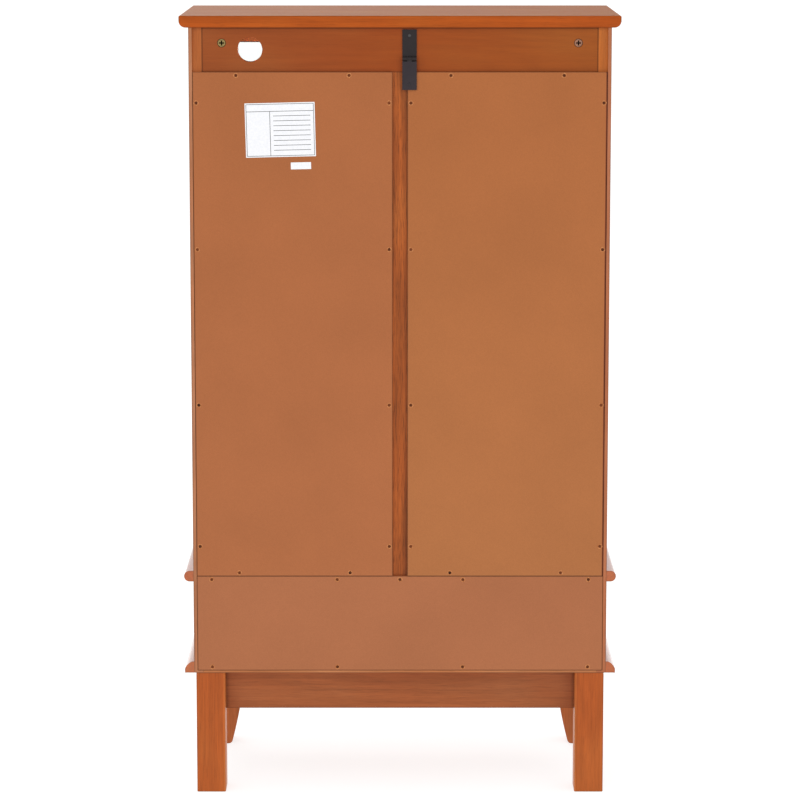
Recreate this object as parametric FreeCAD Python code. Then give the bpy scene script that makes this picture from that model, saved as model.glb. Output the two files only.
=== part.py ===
import FreeCAD, Part
import math
import os

# Lighted display cabinet: a glass-doored case over one drawer, on a legged base.
# Millimetres, +Z up, front facing -Y. The origin is on the floor, in the middle of the
# whole footprint. Left (-X) and right (+X) are as seen from the front.

# Case
TOTAL_HEIGHT = 1217.5          # floor to the upper face of the top
CASE_WIDTH = 645.0             # over the two side panels
CASE_DEPTH = 342.0             # side panel, front edge to rear edge
SIDE_THICKNESS = 20.0
TOP_THICKNESS = 18.0
OVERHANG = 14.5                # how far the top and the mouldings stand past the case
TOP_ROUND_UNDER = 10.5         # rounded lower edge of the top
TOP_ROUND_OVER = 2.0           # eased upper edge of the top
BOARD_THICKNESS = 19.0         # waist board and bottom board
HOUSING_DEPTH = 6.0            # how far those boards are let into the sides
LEG_HEIGHT = 192.5             # floor to the underside of the bottom board
DRAWER_BAY_HEIGHT = 126.0      # clear height between bottom board and waist board

# Back
PANEL_THICKNESS = 5.0          # hardboard back panels
BACK_LIP = 5.3                 # wood left outside the rabbet in each side panel
PANEL_GAP = 0.8                # gap round each back panel
BOTTOM_LIP = 3.5               # wood left under the rabbet in the bottom board
RAIL_THICKNESS = 20.0          # back rail and back stile
RAIL_HEIGHT = 82.0
RAIL_SHOWN = 67.5              # rail left bare above the back panels
STILE_WIDTH = 50.0
STILE_SHOWN = 23.4             # stile left bare between the back panels
STILE_LAP = 10.0               # thickness of the tongues at the stile's ends
CORD_HOLE_RADIUS = 19.0
CORD_HOLE_FROM_SIDE = 73.5     # hole centre to the right side panel
CORD_HOLE_DROP = 33.5          # hole centre below the top

# Fasteners of the back
SCREW_HEAD_RADIUS = 2.3
SCREW_HEAD_HEIGHT = 1.1
SCREW_SHANK_RADIUS = 1.25
SCREW_LENGTH = 17.0
SCREW_RECESS_WIDTH = 0.8
SCREW_FROM_EDGE = 5.0          # screw line to the edge of its panel
SIDE_SCREW_INSET = 47.0        # end screws of an upright line to the panel's ends
SIDE_SCREW_SHARES = (0.326, 0.677)   # where the two middle screws divide the line
ROW_SCREW_INSET = 66.0         # screws of a level line to the panel's ends
LOWER_SCREW_INSET = 22.5       # end screws of the lower panel to its ends
LOWER_SCREW_SPACES = 3         # equal spaces between the lower panel's screws
CAM_RADIUS = 6.5
CAM_DEPTH = 12.5
CAM_FROM_SIDE = 30.5           # cam centre to the side panel
CAM_DROP = 23.5                # cam centre below the top
CAM_CHAMFER = 0.8
CAM_SLOT_WIDTH = 2.2
CAM_SLOT_DEPTH = 2.5
DOWEL_RADIUS = 2.8
DOWEL_IN_SIDE = 11.0
FIT_CLEARANCE = 0.15           # round a fixed piece in its hole or mortise

# Base
LEG_WIDTH = 45.0               # rear leg, side to side
LEG_DEPTH = 50.0               # each leg, front to back
LEG_INSET = 3.0                # legs inside the front and the sides of the case
LEG_EASE = 2.5                 # eased long edges of the legs
FRONT_LEG_WIDTH = 63.0         # front leg above its taper
FRONT_FOOT_WIDTH = 40.0        # front leg at the floor
FRONT_LEG_BOW = 3.0            # how far the taper's line bows out
FRONT_FOOT_ROUND = 7.0         # rounded inner corner of the front foot
APRON_HEIGHT = 64.0
APRON_THICKNESS = 18.0
REAR_APRON_SETBACK = 28.0      # rear apron in front of the legs' rear faces
APRON_SETBACK = 6.0            # front and side aprons behind the legs' outer faces
APRON_ARCH = 16.0              # rise of the front apron's lower edge
TENON_LENGTH = 11.0
TENON_SHOULDER = 5.0           # apron left on each side of its tenon
BRACE_THICKNESS = 18.0
BRACE_HEIGHT = 40.0
BRACE_CLEARANCE = 6.0          # corner brace to the leg's inner corner, along X

# Mouldings
WAIST_BEAD_HEIGHT = 17.0       # half-round waist moulding
BASE_MOULDING_REVEAL = 1.0     # base moulding ends this far below the bottom board's face
BASE_NOSE_HEIGHT = 6.5         # upright nose of the base moulding
BASE_TOP_FLAT = 3.5            # flat upper edge of the base moulding

# Doors
DOOR_THICKNESS = 20.0
DOOR_MEMBER_WIDTH = 38.0       # stiles and rails
DOOR_EASE = 1.2                # eased outer edges of a door's face
DOOR_BEVEL = 4.0               # bevel round the glass on a door's face
DOOR_GAP = 2.0                 # above and below a door
MEETING_GAP = 3.0              # between the two doors
DOOR_TENON_LENGTH = 16.0
DOOR_TENON_THICKNESS = 6.0
DOOR_TENON_SHOULDER = 6.0
REBATE_WIDTH = 9.0             # seat of the glass in stile and rail
GLASS_THICKNESS = 4.0
GLASS_CLEARANCE = 1.0
BEAD_THICKNESS = 6.0
BEAD_ROUND = 4.0

# Door hinges
HINGE_LENGTH = 60.0
HINGE_INSET = 80.0             # hinge to the door's end
LEAF_THICKNESS = 0.9
LEAF_WIDTH = 16.0
LEAF_CLEARANCE = 0.15          # each leaf to the middle of the hinge gap
KNUCKLE_RADIUS = 3.4
KNUCKLE_PLAY = 0.3             # end play between two knuckles
KNUCKLE_STANDOFF = 0.4         # knuckle to the face that it stands in front of
HINGE_PIN_RADIUS = 1.6
PIN_CLEARANCE = 0.06           # radial, between a hinge pin and its knuckles
PIN_HEAD_RADIUS = 2.9
PIN_HEAD_HEIGHT = 2.2

# Knobs
KNOB_LENGTH = 27.0
KNOB_RADIUS = 15.5
KNOB_NECK_RADIUS = 7.0
KNOB_BASE_RADIUS = 9.5
KNOB_NECK_AT = 8.0             # narrowest point, from the door face
KNOB_RIM_AT = 18.0             # widest point, from the door face
KNOB_STUD_RADIUS = 3.0
KNOB_STUD_LENGTH = 14.0
DRAWER_KNOB_SPACING = 330.0

# Magnetic catch
CATCH_WIDTH = 46.0
CATCH_DEPTH = 16.0
CATCH_HEIGHT = 14.0
STRIKE_WIDTH = 16.0
STRIKE_HEIGHT = 9.0
STRIKE_THICKNESS = 1.2
STRIKE_INSET = 2.0             # strike to the door's upper and meeting edges
CATCH_AIR = 0.4                # strike to the catch with the door shut

# Drawer
DRAWER_FRONT_THICKNESS = 20.0
DRAWER_GAP = 2.0               # round the drawer front
DRAWER_EASE = 2.0              # eased edges of the drawer front's face
DRAWER_SIDE_THICKNESS = 12.0
DRAWER_BOX_HEIGHT = 92.0
DRAWER_BOX_LIFT = 14.0         # box above the bottom board
DRAWER_REAR_SPACE = 33.0       # box to the back panel
DRAWER_BOTTOM_THICKNESS = 5.0
DRAWER_GROOVE_DEPTH = 5.0
DRAWER_GROOVE_LIFT = 9.0       # groove above the lower edge of the box
RUNNER_GAP = 13.0              # side panel to drawer box
RUNNER_HEIGHT = 35.0
RUNNER_SHEET = 1.5             # thickness of the runner's steel
RUNNER_PLAY = 0.4              # between the two members of a runner

# Shelves
SHELF_COUNT = 2
SHELF_THICKNESS = 6.0
SHELF_EASE = 1.5               # rounded long edges of the shelves
SHELF_SIDE_GAP = 1.5
SHELF_FRONT_GAP = 8.0          # shelf to the backs of the doors
SHELF_REAR_GAP = 2.0           # shelf to the back stile
PIN_RADIUS = 2.5
PIN_DEPTH = 9.0                # shelf pin in the side panel
PIN_PAD_LENGTH = 9.0
PIN_PAD_WIDTH = 10.0
PIN_PAD_THICKNESS = 3.0
PIN_INSET = 45.0               # pin to the front or rear edge of the shelf
PIN_HOLE_PITCH = 32.0          # to the spare hole above and below each pin

# Light
LIGHT_RADIUS = 35.0
LIGHT_DEPTH = 14.0
LIGHT_WALL = 2.0
LENS_THICKNESS = 2.5
LENS_SEAT = 1.5                # width of the step that the lens bears on
LED_BOARD_THICKNESS = 1.6
LIGHT_INLET_RADIUS = 2.5

# Tip bracket
TIP_WIDTH = 22.0
TIP_X = -14.5                  # bracket centre
TIP_TOP_GAP = 3.0              # plate below the top
TIP_PLATE_LENGTH = 44.5        # plate's upper end to the hinge axis
TIP_FLAP_LENGTH = 47.0         # hinge axis to the flap's lower end
TIP_THICKNESS = 1.8
TIP_KNUCKLE_RADIUS = 3.5
TIP_PIN_RADIUS = 1.3
TIP_FLAP_CLEARANCE = 0.5       # hanging flap to the back panel
TIP_SCREW_DROP = 9.0           # plate screw below the plate's upper end
TIP_HOLE_RADIUS = 2.3          # wall screw hole in the flap
TIP_HOLE_FROM_END = 9.0

# Stickers on the right back panel
STICKER_THICKNESS = 0.15
LARGE_STICKER_WIDTH = 107.0
LARGE_STICKER_HEIGHT = 83.0
LARGE_STICKER_FROM_EDGE = 133.4   # its centre to the panel's outer edge
LARGE_STICKER_DROP = 88.0         # its centre below the panel's upper edge
LARGE_STICKER_TURN = 1.35         # degrees
SMALL_STICKER_WIDTH = 31.0
SMALL_STICKER_HEIGHT = 10.6
SMALL_STICKER_SHIFT = -31.4       # its centre from the large one's centre, along X
SMALL_STICKER_DROP = 55.0         # its centre below the large one's centre

LEFT, RIGHT = -1, 1
BOTH = (LEFT, RIGHT)
ORIGIN = FreeCAD.Vector(0, 0, 0)
X = FreeCAD.Vector(1, 0, 0)
Y = FreeCAD.Vector(0, 1, 0)
Z = FreeCAD.Vector(0, 0, 1)

# Heights that several pieces share
z_bottom_top = LEG_HEIGHT + BOARD_THICKNESS
z_waist_under = z_bottom_top + DRAWER_BAY_HEIGHT
z_waist_top = z_waist_under + BOARD_THICKNESS
z_waist_middle = z_waist_under + BOARD_THICKNESS / 2
z_top_under = TOTAL_HEIGHT - TOP_THICKNESS
z_rail_under = z_top_under - RAIL_HEIGHT
z_panel_top = z_top_under - RAIL_SHOWN
z_panel_low = z_waist_middle + PANEL_GAP / 2
z_lower_panel_top = z_waist_middle - PANEL_GAP / 2
z_lower_panel_low = LEG_HEIGHT + BOTTOM_LIP + PANEL_GAP
z_door_low = z_waist_top + DOOR_GAP
z_door_high = z_top_under - DOOR_GAP
z_cam = z_top_under - CAM_DROP
z_tip_axis = z_top_under - TIP_TOP_GAP - TIP_PLATE_LENGTH
z_apron_low = LEG_HEIGHT - APRON_HEIGHT
z_box_low = z_bottom_top + DRAWER_BOX_LIFT
z_box_high = z_box_low + DRAWER_BOX_HEIGHT
z_groove = z_box_low + DRAWER_GROOVE_LIFT
z_runner = (z_box_low + z_box_high) / 2

# Depths that several pieces share, from the whole depth set about the origin
tip_axis_off_seat = TIP_KNUCKLE_RADIUS + KNUCKLE_STANDOFF
front_reach = max(KNOB_LENGTH, OVERHANG)
rear_reach = max(tip_axis_off_seat + TIP_KNUCKLE_RADIUS - PANEL_THICKNESS,
                 TIP_FLAP_CLEARANCE + TIP_THICKNESS, SCREW_HEAD_HEIGHT)
y_front = (front_reach - CASE_DEPTH - rear_reach) / 2
y_rear = y_front + CASE_DEPTH
y_seat = y_rear - PANEL_THICKNESS
y_stile_front = y_seat - RAIL_THICKNESS
y_door_rear = y_front + DOOR_THICKNESS
y_glass = y_door_rear - BEAD_THICKNESS - GLASS_THICKNESS
y_cam_dowel = y_seat - CAM_DEPTH / 2
y_hinge_axis = y_front - KNUCKLE_RADIUS - KNUCKLE_STANDOFF
y_tip_axis = y_seat + tip_axis_off_seat
y_drawer_front_rear = y_front + DRAWER_FRONT_THICKNESS
y_box_rear = y_seat - DRAWER_REAR_SPACE
y_rear_leg_front = y_rear - LEG_DEPTH
y_front_leg_front = y_front + LEG_INSET
y_front_leg_rear = y_front_leg_front + LEG_DEPTH

# Widths that several pieces share, for the right half
half_width = CASE_WIDTH / 2
inner_half = half_width - SIDE_THICKNESS
housed_half = inner_half + HOUSING_DEPTH
panel_outer = half_width - BACK_LIP - PANEL_GAP
panel_inner = STILE_SHOWN / 2
hinge_gap = 2 * (LEAF_THICKNESS + LEAF_CLEARANCE)
x_hinge_axis = inner_half - hinge_gap / 2
x_door_outer = inner_half - hinge_gap
x_door_inner = MEETING_GAP / 2
x_cam = inner_half - CAM_FROM_SIDE
x_leg_outer = half_width - LEG_INSET
x_rear_leg_inner = x_leg_outer - LEG_WIDTH
x_front_leg_inner = x_leg_outer - FRONT_LEG_WIDTH
x_side_apron_outer = x_leg_outer - APRON_SETBACK
x_side_apron_inner = x_side_apron_outer - APRON_THICKNESS
box_half = inner_half - RUNNER_GAP
box_inner_half = box_half - DRAWER_SIDE_THICKNESS


def vec(x, y, z):
    return FreeCAD.Vector(x, y, z)


def box(x, y, z):
    """Block between two values on each axis, given in either order."""
    size = [max(ends) - min(ends) for ends in (x, y, z)]
    return Part.makeBox(*size, vec(min(x), min(y), min(z)))


def rod(radius, start, along, length):
    """Cylinder from a point, along a direction."""
    return Part.makeCylinder(radius, length, vec(*start), along)


def line(start, end):
    return Part.LineSegment(start, end).toShape()


def arc(start, middle, end):
    return Part.Arc(start, middle, end).toShape()


def cap(rim_radius, base, height):
    """Quarter outline of a spherical cap: from its rim at y = base to its crown, height beyond."""
    turn = math.atan(abs(height) / rim_radius)
    radius = rim_radius / math.sin(2 * turn)
    way = math.copysign(1, height)
    middle = vec(radius * math.sin(turn), base + height - way * radius * (1 - math.cos(turn)), 0)
    return arc(vec(rim_radius, base, 0), middle, vec(0, base + height, 0))


def prism(points, along):
    """Solid with straight sides through the points, drawn out along a vector."""
    return Part.Face(Part.makePolygon([*points, points[0]])).extrude(along)


def mirrored(shape, side):
    """The shape as drawn for the right side, or its mirror image for the left."""
    return shape if side == RIGHT else shape.mirror(ORIGIN, X)


def pair(shape):
    """The shape and its mirror image as one node."""
    return Part.makeCompound([mirrored(shape, side) for side in BOTH])


def eased(shape, radius, chosen):
    """Rounds the straight edges that a test on (direction, middle) chooses."""
    edges = []
    for edge in shape.Edges:
        if isinstance(edge.Curve, Part.Line) and chosen(edge.Curve.Direction, edge.BoundBox.Center):
            edges.append(edge)
    return shape.makeFillet(radius, edges)


# Case

def side_panel(side):
    """Side board with the back rabbet, the housings, and holes for shelf pins and dowel."""
    depth = (y_front, y_rear)
    board = box((inner_half, half_width), depth, (LEG_HEIGHT, z_top_under))
    rabbet = box((inner_half, half_width - BACK_LIP), (y_seat, y_rear),
                 (LEG_HEIGHT + BOTTOM_LIP, z_top_under))
    waist = box((inner_half, housed_half), (y_front, y_seat), (z_waist_under, z_waist_top))
    bottom = box((inner_half, housed_half), depth, (LEG_HEIGHT, z_bottom_top))
    dowel = rod(DOWEL_RADIUS + FIT_CLEARANCE, (inner_half, y_cam_dowel, z_cam), X,
                DOWEL_IN_SIDE + FIT_CLEARANCE)
    cuts = [rabbet, waist, bottom, dowel]
    for y, z in shelf_pin_places():
        for step in (-PIN_HOLE_PITCH, 0, PIN_HOLE_PITCH):
            start = (inner_half, y, z + step)
            cuts.append(rod(PIN_RADIUS + FIT_CLEARANCE, start, X, PIN_DEPTH + FIT_CLEARANCE))
    return mirrored(board.cut(cuts), side).cut(back_screw_holes())


def top_section(place, inward):
    """Section of the top through place(out, z), nosed at its outer end."""
    under = TOP_ROUND_UNDER
    over = TOP_ROUND_OVER
    bow = 1 - math.sqrt(0.5)
    high = TOTAL_HEIGHT
    low = z_top_under
    outline = [
        line(place(-inward, low), place(OVERHANG - under, low)),
        arc(place(OVERHANG - under, low), place(OVERHANG - bow * under, low + bow * under),
            place(OVERHANG, low + under)),
        line(place(OVERHANG, low + under), place(OVERHANG, high - over)),
        arc(place(OVERHANG, high - over), place(OVERHANG - bow * over, high - bow * over),
            place(OVERHANG - over, high)),
        line(place(OVERHANG - over, high), place(-inward, high)),
        line(place(-inward, high), place(-inward, low)),
    ]
    return Part.Face(Part.Wire(outline))


def top_board():
    """Top with a nose on the front and both sides, and a square rear edge."""
    front = y_front - OVERHANG
    reach = half_width + OVERHANG
    right = top_section(lambda out, z: vec(half_width + out, front, z), half_width)
    right = right.extrude(Y * (y_rear - front))
    across = right.fuse(mirrored(right, LEFT)).removeSplitter()
    along = top_section(lambda out, z: vec(-reach, y_front - out, z), CASE_DEPTH).extrude(X * 2 * reach)
    return across.common(along)


def waist_board():
    """Fixed board between the drawer and the display bay."""
    board = box((-housed_half, housed_half), (y_front, y_seat), (z_waist_under, z_waist_top))
    return board.cut([*stile_tongues(), back_screw_holes()])


def bottom_board():
    """Lowest board, rabbeted at the rear for the lower back panel."""
    width = (-housed_half, housed_half)
    board = box(width, (y_front, y_rear), (LEG_HEIGHT, z_bottom_top))
    rabbet = box(width, (y_seat, y_rear), (LEG_HEIGHT + BOTTOM_LIP, z_bottom_top))
    return board.cut([rabbet, back_screw_holes()])


# Back

def back_rail():
    """Upper rear rail with the cord hole, and the pockets of the cams that draw it to the sides."""
    rail = box((-inner_half, inner_half), (y_stile_front, y_seat), (z_rail_under, z_top_under))
    hole_start = (inner_half - CORD_HOLE_FROM_SIDE, y_seat, z_top_under - CORD_HOLE_DROP)
    cord_hole = rod(CORD_HOLE_RADIUS, hole_start, -Y, RAIL_THICKNESS)
    pocket = rod(CAM_RADIUS + FIT_CLEARANCE, (x_cam, y_seat, z_cam), -Y, CAM_DEPTH)
    bore = rod(DOWEL_RADIUS + FIT_CLEARANCE, (x_cam, y_cam_dowel, z_cam), X, CAM_FROM_SIDE)
    return rail.cut([cord_hole, pair(pocket), pair(bore), *stile_tongues(), back_screw_holes(),
                     tip_screw_hole()])


def stile_tongues():
    """Ends of the back stile, let into the rail and the waist board as far as the back panels reach."""
    width = (-STILE_WIDTH / 2, STILE_WIDTH / 2)
    depth = (y_seat - STILE_LAP, y_seat)
    heights = ((z_rail_under, z_panel_top), (z_waist_middle, z_waist_top))
    return [box(width, depth, height) for height in heights]


def back_stile():
    """Upright behind the joint of the two upper back panels, lapped over the rail and the waist board."""
    stile = box((-STILE_WIDTH / 2, STILE_WIDTH / 2), (y_stile_front, y_seat), (z_waist_top, z_rail_under))
    return stile.fuse(stile_tongues()).removeSplitter().cut(back_screw_holes())


def upper_back_panel(side):
    """Hardboard panel between a side panel and the back stile."""
    panel = box((panel_inner, panel_outer), (y_seat, y_rear), (z_panel_low, z_panel_top))
    return mirrored(panel, side).cut(back_screw_holes())


def lower_back_panel():
    """Hardboard panel behind the drawer."""
    panel = box((-panel_outer, panel_outer), (y_seat, y_rear), (z_lower_panel_low, z_lower_panel_top))
    return panel.cut(back_screw_holes())


def back_screw_places():
    """(x, z) of every back panel screw."""
    high = z_panel_top - SIDE_SCREW_INSET
    drop = high - SIDE_SCREW_INSET - z_panel_low
    heights = [high - share * drop for share in (0, *SIDE_SCREW_SHARES, 1)]
    places = []
    for side in BOTH:
        for x in (panel_inner + SCREW_FROM_EDGE, panel_outer - SCREW_FROM_EDGE):
            places += [(side * x, z) for z in heights]
        for x in (panel_inner + ROW_SCREW_INSET, panel_outer - ROW_SCREW_INSET):
            places += [(side * x, z) for z in (z_panel_top - SCREW_FROM_EDGE, z_panel_low + SCREW_FROM_EDGE)]
    reach = panel_outer - LOWER_SCREW_INSET
    z_upper_row = z_lower_panel_top - SCREW_FROM_EDGE
    for n in range(LOWER_SCREW_SPACES + 1):
        x = reach * (2 * n / LOWER_SCREW_SPACES - 1)
        places += [(x, z_upper_row), (x, z_lower_panel_low + SCREW_FROM_EDGE)]
    places.append((0, z_upper_row))
    return places


def screw_hole(x, y, z):
    """Hole for a screw whose head bears on the plane y."""
    return rod(SCREW_SHANK_RADIUS + FIT_CLEARANCE, (x, y, z), -Y, SCREW_LENGTH + FIT_CLEARANCE)


def back_screw_holes():
    """Holes of the back panel screws, through the panels and into the frame."""
    return Part.makeCompound([screw_hole(x, y_rear, z) for x, z in back_screw_places()])


def cross_recess(centre, reach, width, depth):
    """Two crossed slots sunk from a face that looks along +Y."""
    x, y, z = centre
    upright = box((x - width / 2, x + width / 2), (y - depth, y), (z - reach, z + reach))
    level = box((x - reach, x + reach), (y - depth, y), (z - width / 2, z + width / 2))
    return upright.fuse(level)


def pan_screw(x, y, z):
    """Cross-headed screw driven along -Y, its head bearing on the plane y."""
    crown = Y * SCREW_HEAD_HEIGHT
    rim = X * SCREW_HEAD_RADIUS
    outline = [cap(SCREW_HEAD_RADIUS, 0, SCREW_HEAD_HEIGHT), line(crown, ORIGIN), line(ORIGIN, rim)]
    head = Part.Face(Part.Wire(outline)).revolve(ORIGIN, Y, 360)
    head.translate(vec(x, y, z))
    shank = rod(SCREW_SHANK_RADIUS, (x, y, z), -Y, SCREW_LENGTH)
    crown_at = (x, y + SCREW_HEAD_HEIGHT, z)
    recess = cross_recess(crown_at, 0.65 * SCREW_HEAD_RADIUS, SCREW_RECESS_WIDTH, 0.7 * SCREW_HEAD_HEIGHT)
    return head.fuse(shank).cut(recess)


def back_panel_screws():
    return Part.makeCompound([pan_screw(x, y_rear, z) for x, z in back_screw_places()])


def cam_locks():
    """Cross-slotted cams, one in each end of the back rail."""
    centre = (x_cam, y_seat, z_cam)
    shaft = rod(CAM_RADIUS, (x_cam, y_seat - CAM_CHAMFER, z_cam), -Y, CAM_DEPTH - CAM_CHAMFER)
    cam = shaft.fuse(Part.makeCone(CAM_RADIUS, CAM_RADIUS - CAM_CHAMFER, CAM_CHAMFER,
                                   vec(x_cam, y_seat - CAM_CHAMFER, z_cam), Y))
    slots = cross_recess(centre, 0.6 * CAM_RADIUS, CAM_SLOT_WIDTH, CAM_SLOT_DEPTH)
    bore = rod(DOWEL_RADIUS + FIT_CLEARANCE, (x_cam, y_cam_dowel, z_cam), X, CAM_RADIUS)
    return pair(cam.cut([slots, bore]))


def cam_dowels():
    """Steel dowels between the side panels and the cams that hold them."""
    start = (x_cam, y_cam_dowel, z_cam)
    return pair(rod(DOWEL_RADIUS, start, X, CAM_FROM_SIDE + DOWEL_IN_SIDE))


# Base

def rear_leg(side):
    """Straight square leg with the mortises of the two aprons."""
    width = (x_rear_leg_inner, x_leg_outer)
    leg = box(width, (y_rear_leg_front, y_rear), (0, LEG_HEIGHT))
    leg = eased(leg, LEG_EASE, lambda way, middle: abs(way.z) > 0.99)
    return mirrored(leg.cut([rear_apron_tenon(FIT_CLEARANCE), side_apron_tenons(FIT_CLEARANCE)]), side)


def front_leg(side):
    """Leg that tapers on its inner side below the apron, in a slightly bowed line."""
    foot_x = x_leg_outer - FRONT_FOOT_WIDTH
    high = vec(x_front_leg_inner, y_front_leg_front, LEG_HEIGHT)
    bend = vec(x_front_leg_inner, y_front_leg_front, z_apron_low)
    bow = vec((x_front_leg_inner + foot_x) / 2 - FRONT_LEG_BOW, y_front_leg_front, z_apron_low / 2)
    foot = vec(foot_x, y_front_leg_front, 0)
    outer_foot = vec(x_leg_outer, y_front_leg_front, 0)
    outer_high = vec(x_leg_outer, y_front_leg_front, LEG_HEIGHT)
    outline = [line(high, bend), arc(bend, bow, foot), line(foot, outer_foot), line(outer_foot, outer_high),
               line(outer_high, high)]
    leg = Part.Face(Part.Wire(outline)).extrude(Y * LEG_DEPTH)
    leg = eased(leg, FRONT_FOOT_ROUND, lambda way, middle: abs(way.y) > 0.99 and abs(middle.x - foot_x) < 0.1)
    leg = eased(leg, LEG_EASE, lambda way, middle: abs(way.z) > 0.99 and abs(middle.x - x_leg_outer) < 0.1)
    return mirrored(leg.cut([front_apron_tenon(FIT_CLEARANCE), side_apron_tenons(FIT_CLEARANCE)]), side)


def tenon_height(grow):
    return z_apron_low + TENON_SHOULDER - grow, LEG_HEIGHT - TENON_SHOULDER + grow


def tenon_thickness(face, way, grow):
    """Range across an apron that a tenon takes, from the apron's outer face inward."""
    return face + way * (TENON_SHOULDER - grow), face + way * (APRON_THICKNESS - TENON_SHOULDER + grow)


def rear_apron_tenon(grow):
    y = tenon_thickness(y_rear - REAR_APRON_SETBACK, -1, grow)
    return box((x_rear_leg_inner, x_rear_leg_inner + TENON_LENGTH + grow), y, tenon_height(grow))


def front_apron_tenon(grow):
    y = tenon_thickness(y_front_leg_front + APRON_SETBACK, 1, grow)
    return box((x_front_leg_inner, x_front_leg_inner + TENON_LENGTH + grow), y, tenon_height(grow))


def side_apron_tenons(grow):
    x = tenon_thickness(x_side_apron_outer, -1, grow)
    rear = box(x, (y_rear_leg_front, y_rear_leg_front + TENON_LENGTH + grow), tenon_height(grow))
    front = box(x, (y_front_leg_rear - TENON_LENGTH - grow, y_front_leg_rear), tenon_height(grow))
    return Part.makeCompound([rear, front])


def rear_apron():
    """Straight rail between the rear legs."""
    rear_face = y_rear - REAR_APRON_SETBACK
    depth = (rear_face - APRON_THICKNESS, rear_face)
    apron = box((-x_rear_leg_inner, x_rear_leg_inner), depth, (z_apron_low, LEG_HEIGHT))
    return apron.fuse([mirrored(rear_apron_tenon(0), side) for side in BOTH]).removeSplitter()


def front_apron():
    """Rail between the front legs, its lower edge rising in a shallow arch."""
    reach = x_front_leg_inner
    face = y_front_leg_front + APRON_SETBACK
    outline = [
        arc(vec(-reach, face, z_apron_low), vec(0, face, z_apron_low + APRON_ARCH),
            vec(reach, face, z_apron_low)),
        line(vec(reach, face, z_apron_low), vec(reach, face, LEG_HEIGHT)),
        line(vec(reach, face, LEG_HEIGHT), vec(-reach, face, LEG_HEIGHT)),
        line(vec(-reach, face, LEG_HEIGHT), vec(-reach, face, z_apron_low)),
    ]
    apron = Part.Face(Part.Wire(outline)).extrude(Y * APRON_THICKNESS)
    return apron.fuse([mirrored(front_apron_tenon(0), side) for side in BOTH]).removeSplitter()


def side_aprons():
    """Rails between the front and rear legs."""
    width = (x_side_apron_inner, x_side_apron_outer)
    apron = box(width, (y_front_leg_rear, y_rear_leg_front), (z_apron_low, LEG_HEIGHT))
    return pair(apron.fuse(side_apron_tenons(0)).removeSplitter())


def corner_brace(x_leg, y_leg, y_apron, way):
    """Diagonal block from a cross apron to a side apron; way is +1 or -1, into the base along Y."""
    x_apron = x_leg - BRACE_CLEARANCE - way * (y_leg - y_apron)
    y_side = y_leg + way * (x_side_apron_inner - x_leg + BRACE_CLEARANCE)
    slant = BRACE_THICKNESS * math.sqrt(2)
    z = LEG_HEIGHT - BRACE_HEIGHT
    points = [
        vec(x_apron, y_apron, z),
        vec(x_side_apron_inner, y_side, z),
        vec(x_side_apron_inner, y_side + way * slant, z),
        vec(x_apron - slant, y_apron, z),
    ]
    return prism(points, Z * BRACE_HEIGHT)


def corner_braces():
    """Diagonal blocks in the four corners of the base."""
    rear_face = y_rear - REAR_APRON_SETBACK - APRON_THICKNESS
    front_face = y_front_leg_front + APRON_SETBACK + APRON_THICKNESS
    rear = corner_brace(x_rear_leg_inner, y_rear_leg_front, rear_face, -1)
    front = corner_brace(x_front_leg_inner, y_front_leg_rear, front_face, 1)
    return Part.makeCompound([pair(rear), pair(front)])


# Mouldings

def waist_section(place):
    """Half-round section through place(out, z)."""
    radius = WAIST_BEAD_HEIGHT / 2
    flat = OVERHANG - radius
    low = z_waist_middle - radius
    high = z_waist_middle + radius
    outline = [
        line(place(0, low), place(flat, low)),
        arc(place(flat, low), place(OVERHANG, z_waist_middle), place(flat, high)),
        line(place(flat, high), place(0, high)),
        line(place(0, high), place(0, low)),
    ]
    return Part.Face(Part.Wire(outline))


def base_section(place):
    """Section with an upright nose and a bowed slope above it, through place(out, z)."""
    low = LEG_HEIGHT
    nose = LEG_HEIGHT + BASE_NOSE_HEIGHT
    high = z_bottom_top - BASE_MOULDING_REVEAL
    bow_out = BASE_TOP_FLAT + 0.6 * (OVERHANG - BASE_TOP_FLAT)
    bow_up = nose + 0.6 * (high - nose)
    outline = [
        line(place(0, low), place(OVERHANG, low)),
        line(place(OVERHANG, low), place(OVERHANG, nose)),
        arc(place(OVERHANG, nose), place(bow_out, bow_up), place(BASE_TOP_FLAT, high)),
        line(place(BASE_TOP_FLAT, high), place(0, high)),
        line(place(0, high), place(0, low)),
    ]
    return Part.Face(Part.Wire(outline))


def mitre_waste(side, way):
    """Wood beyond a front corner's mitre: way +1 trims the front strip, -1 a side strip."""
    corner = vec(half_width, y_front, 0)
    along = vec(OVERHANG, -OVERHANG, 0) * 4
    away = vec(OVERHANG, OVERHANG, 0) * 4 * way
    points = [corner - along, corner + along, corner + along + away, corner - along + away]
    return mirrored(prism(points, Z * TOTAL_HEIGHT), side)


def front_moulding(section):
    """Strip across the front, mitred at both ends."""
    reach = half_width + OVERHANG
    strip = section(lambda out, z: vec(-reach, y_front - out, z)).extrude(X * 2 * reach)
    return strip.cut([mitre_waste(side, 1) for side in BOTH])


def side_mouldings(section):
    """Strips along the two sides, mitred in front and square at the rear."""
    start = y_front - OVERHANG
    strip = section(lambda out, z: vec(half_width + out, start, z)).extrude(Y * (y_rear - start))
    return pair(strip.cut(mitre_waste(RIGHT, -1)))


# Doors

def door_tenon_heights(grow):
    """Height ranges of the lower and the upper rail's tenons."""
    far = DOOR_MEMBER_WIDTH - DOOR_TENON_SHOULDER + grow
    near = DOOR_TENON_SHOULDER - grow
    return (z_door_low + near, z_door_low + far), (z_door_high - far, z_door_high - near)


def door_tenon_depth(grow):
    middle = (y_front + y_glass) / 2
    half = DOOR_TENON_THICKNESS / 2 + grow
    return middle - half, middle + half


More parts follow.
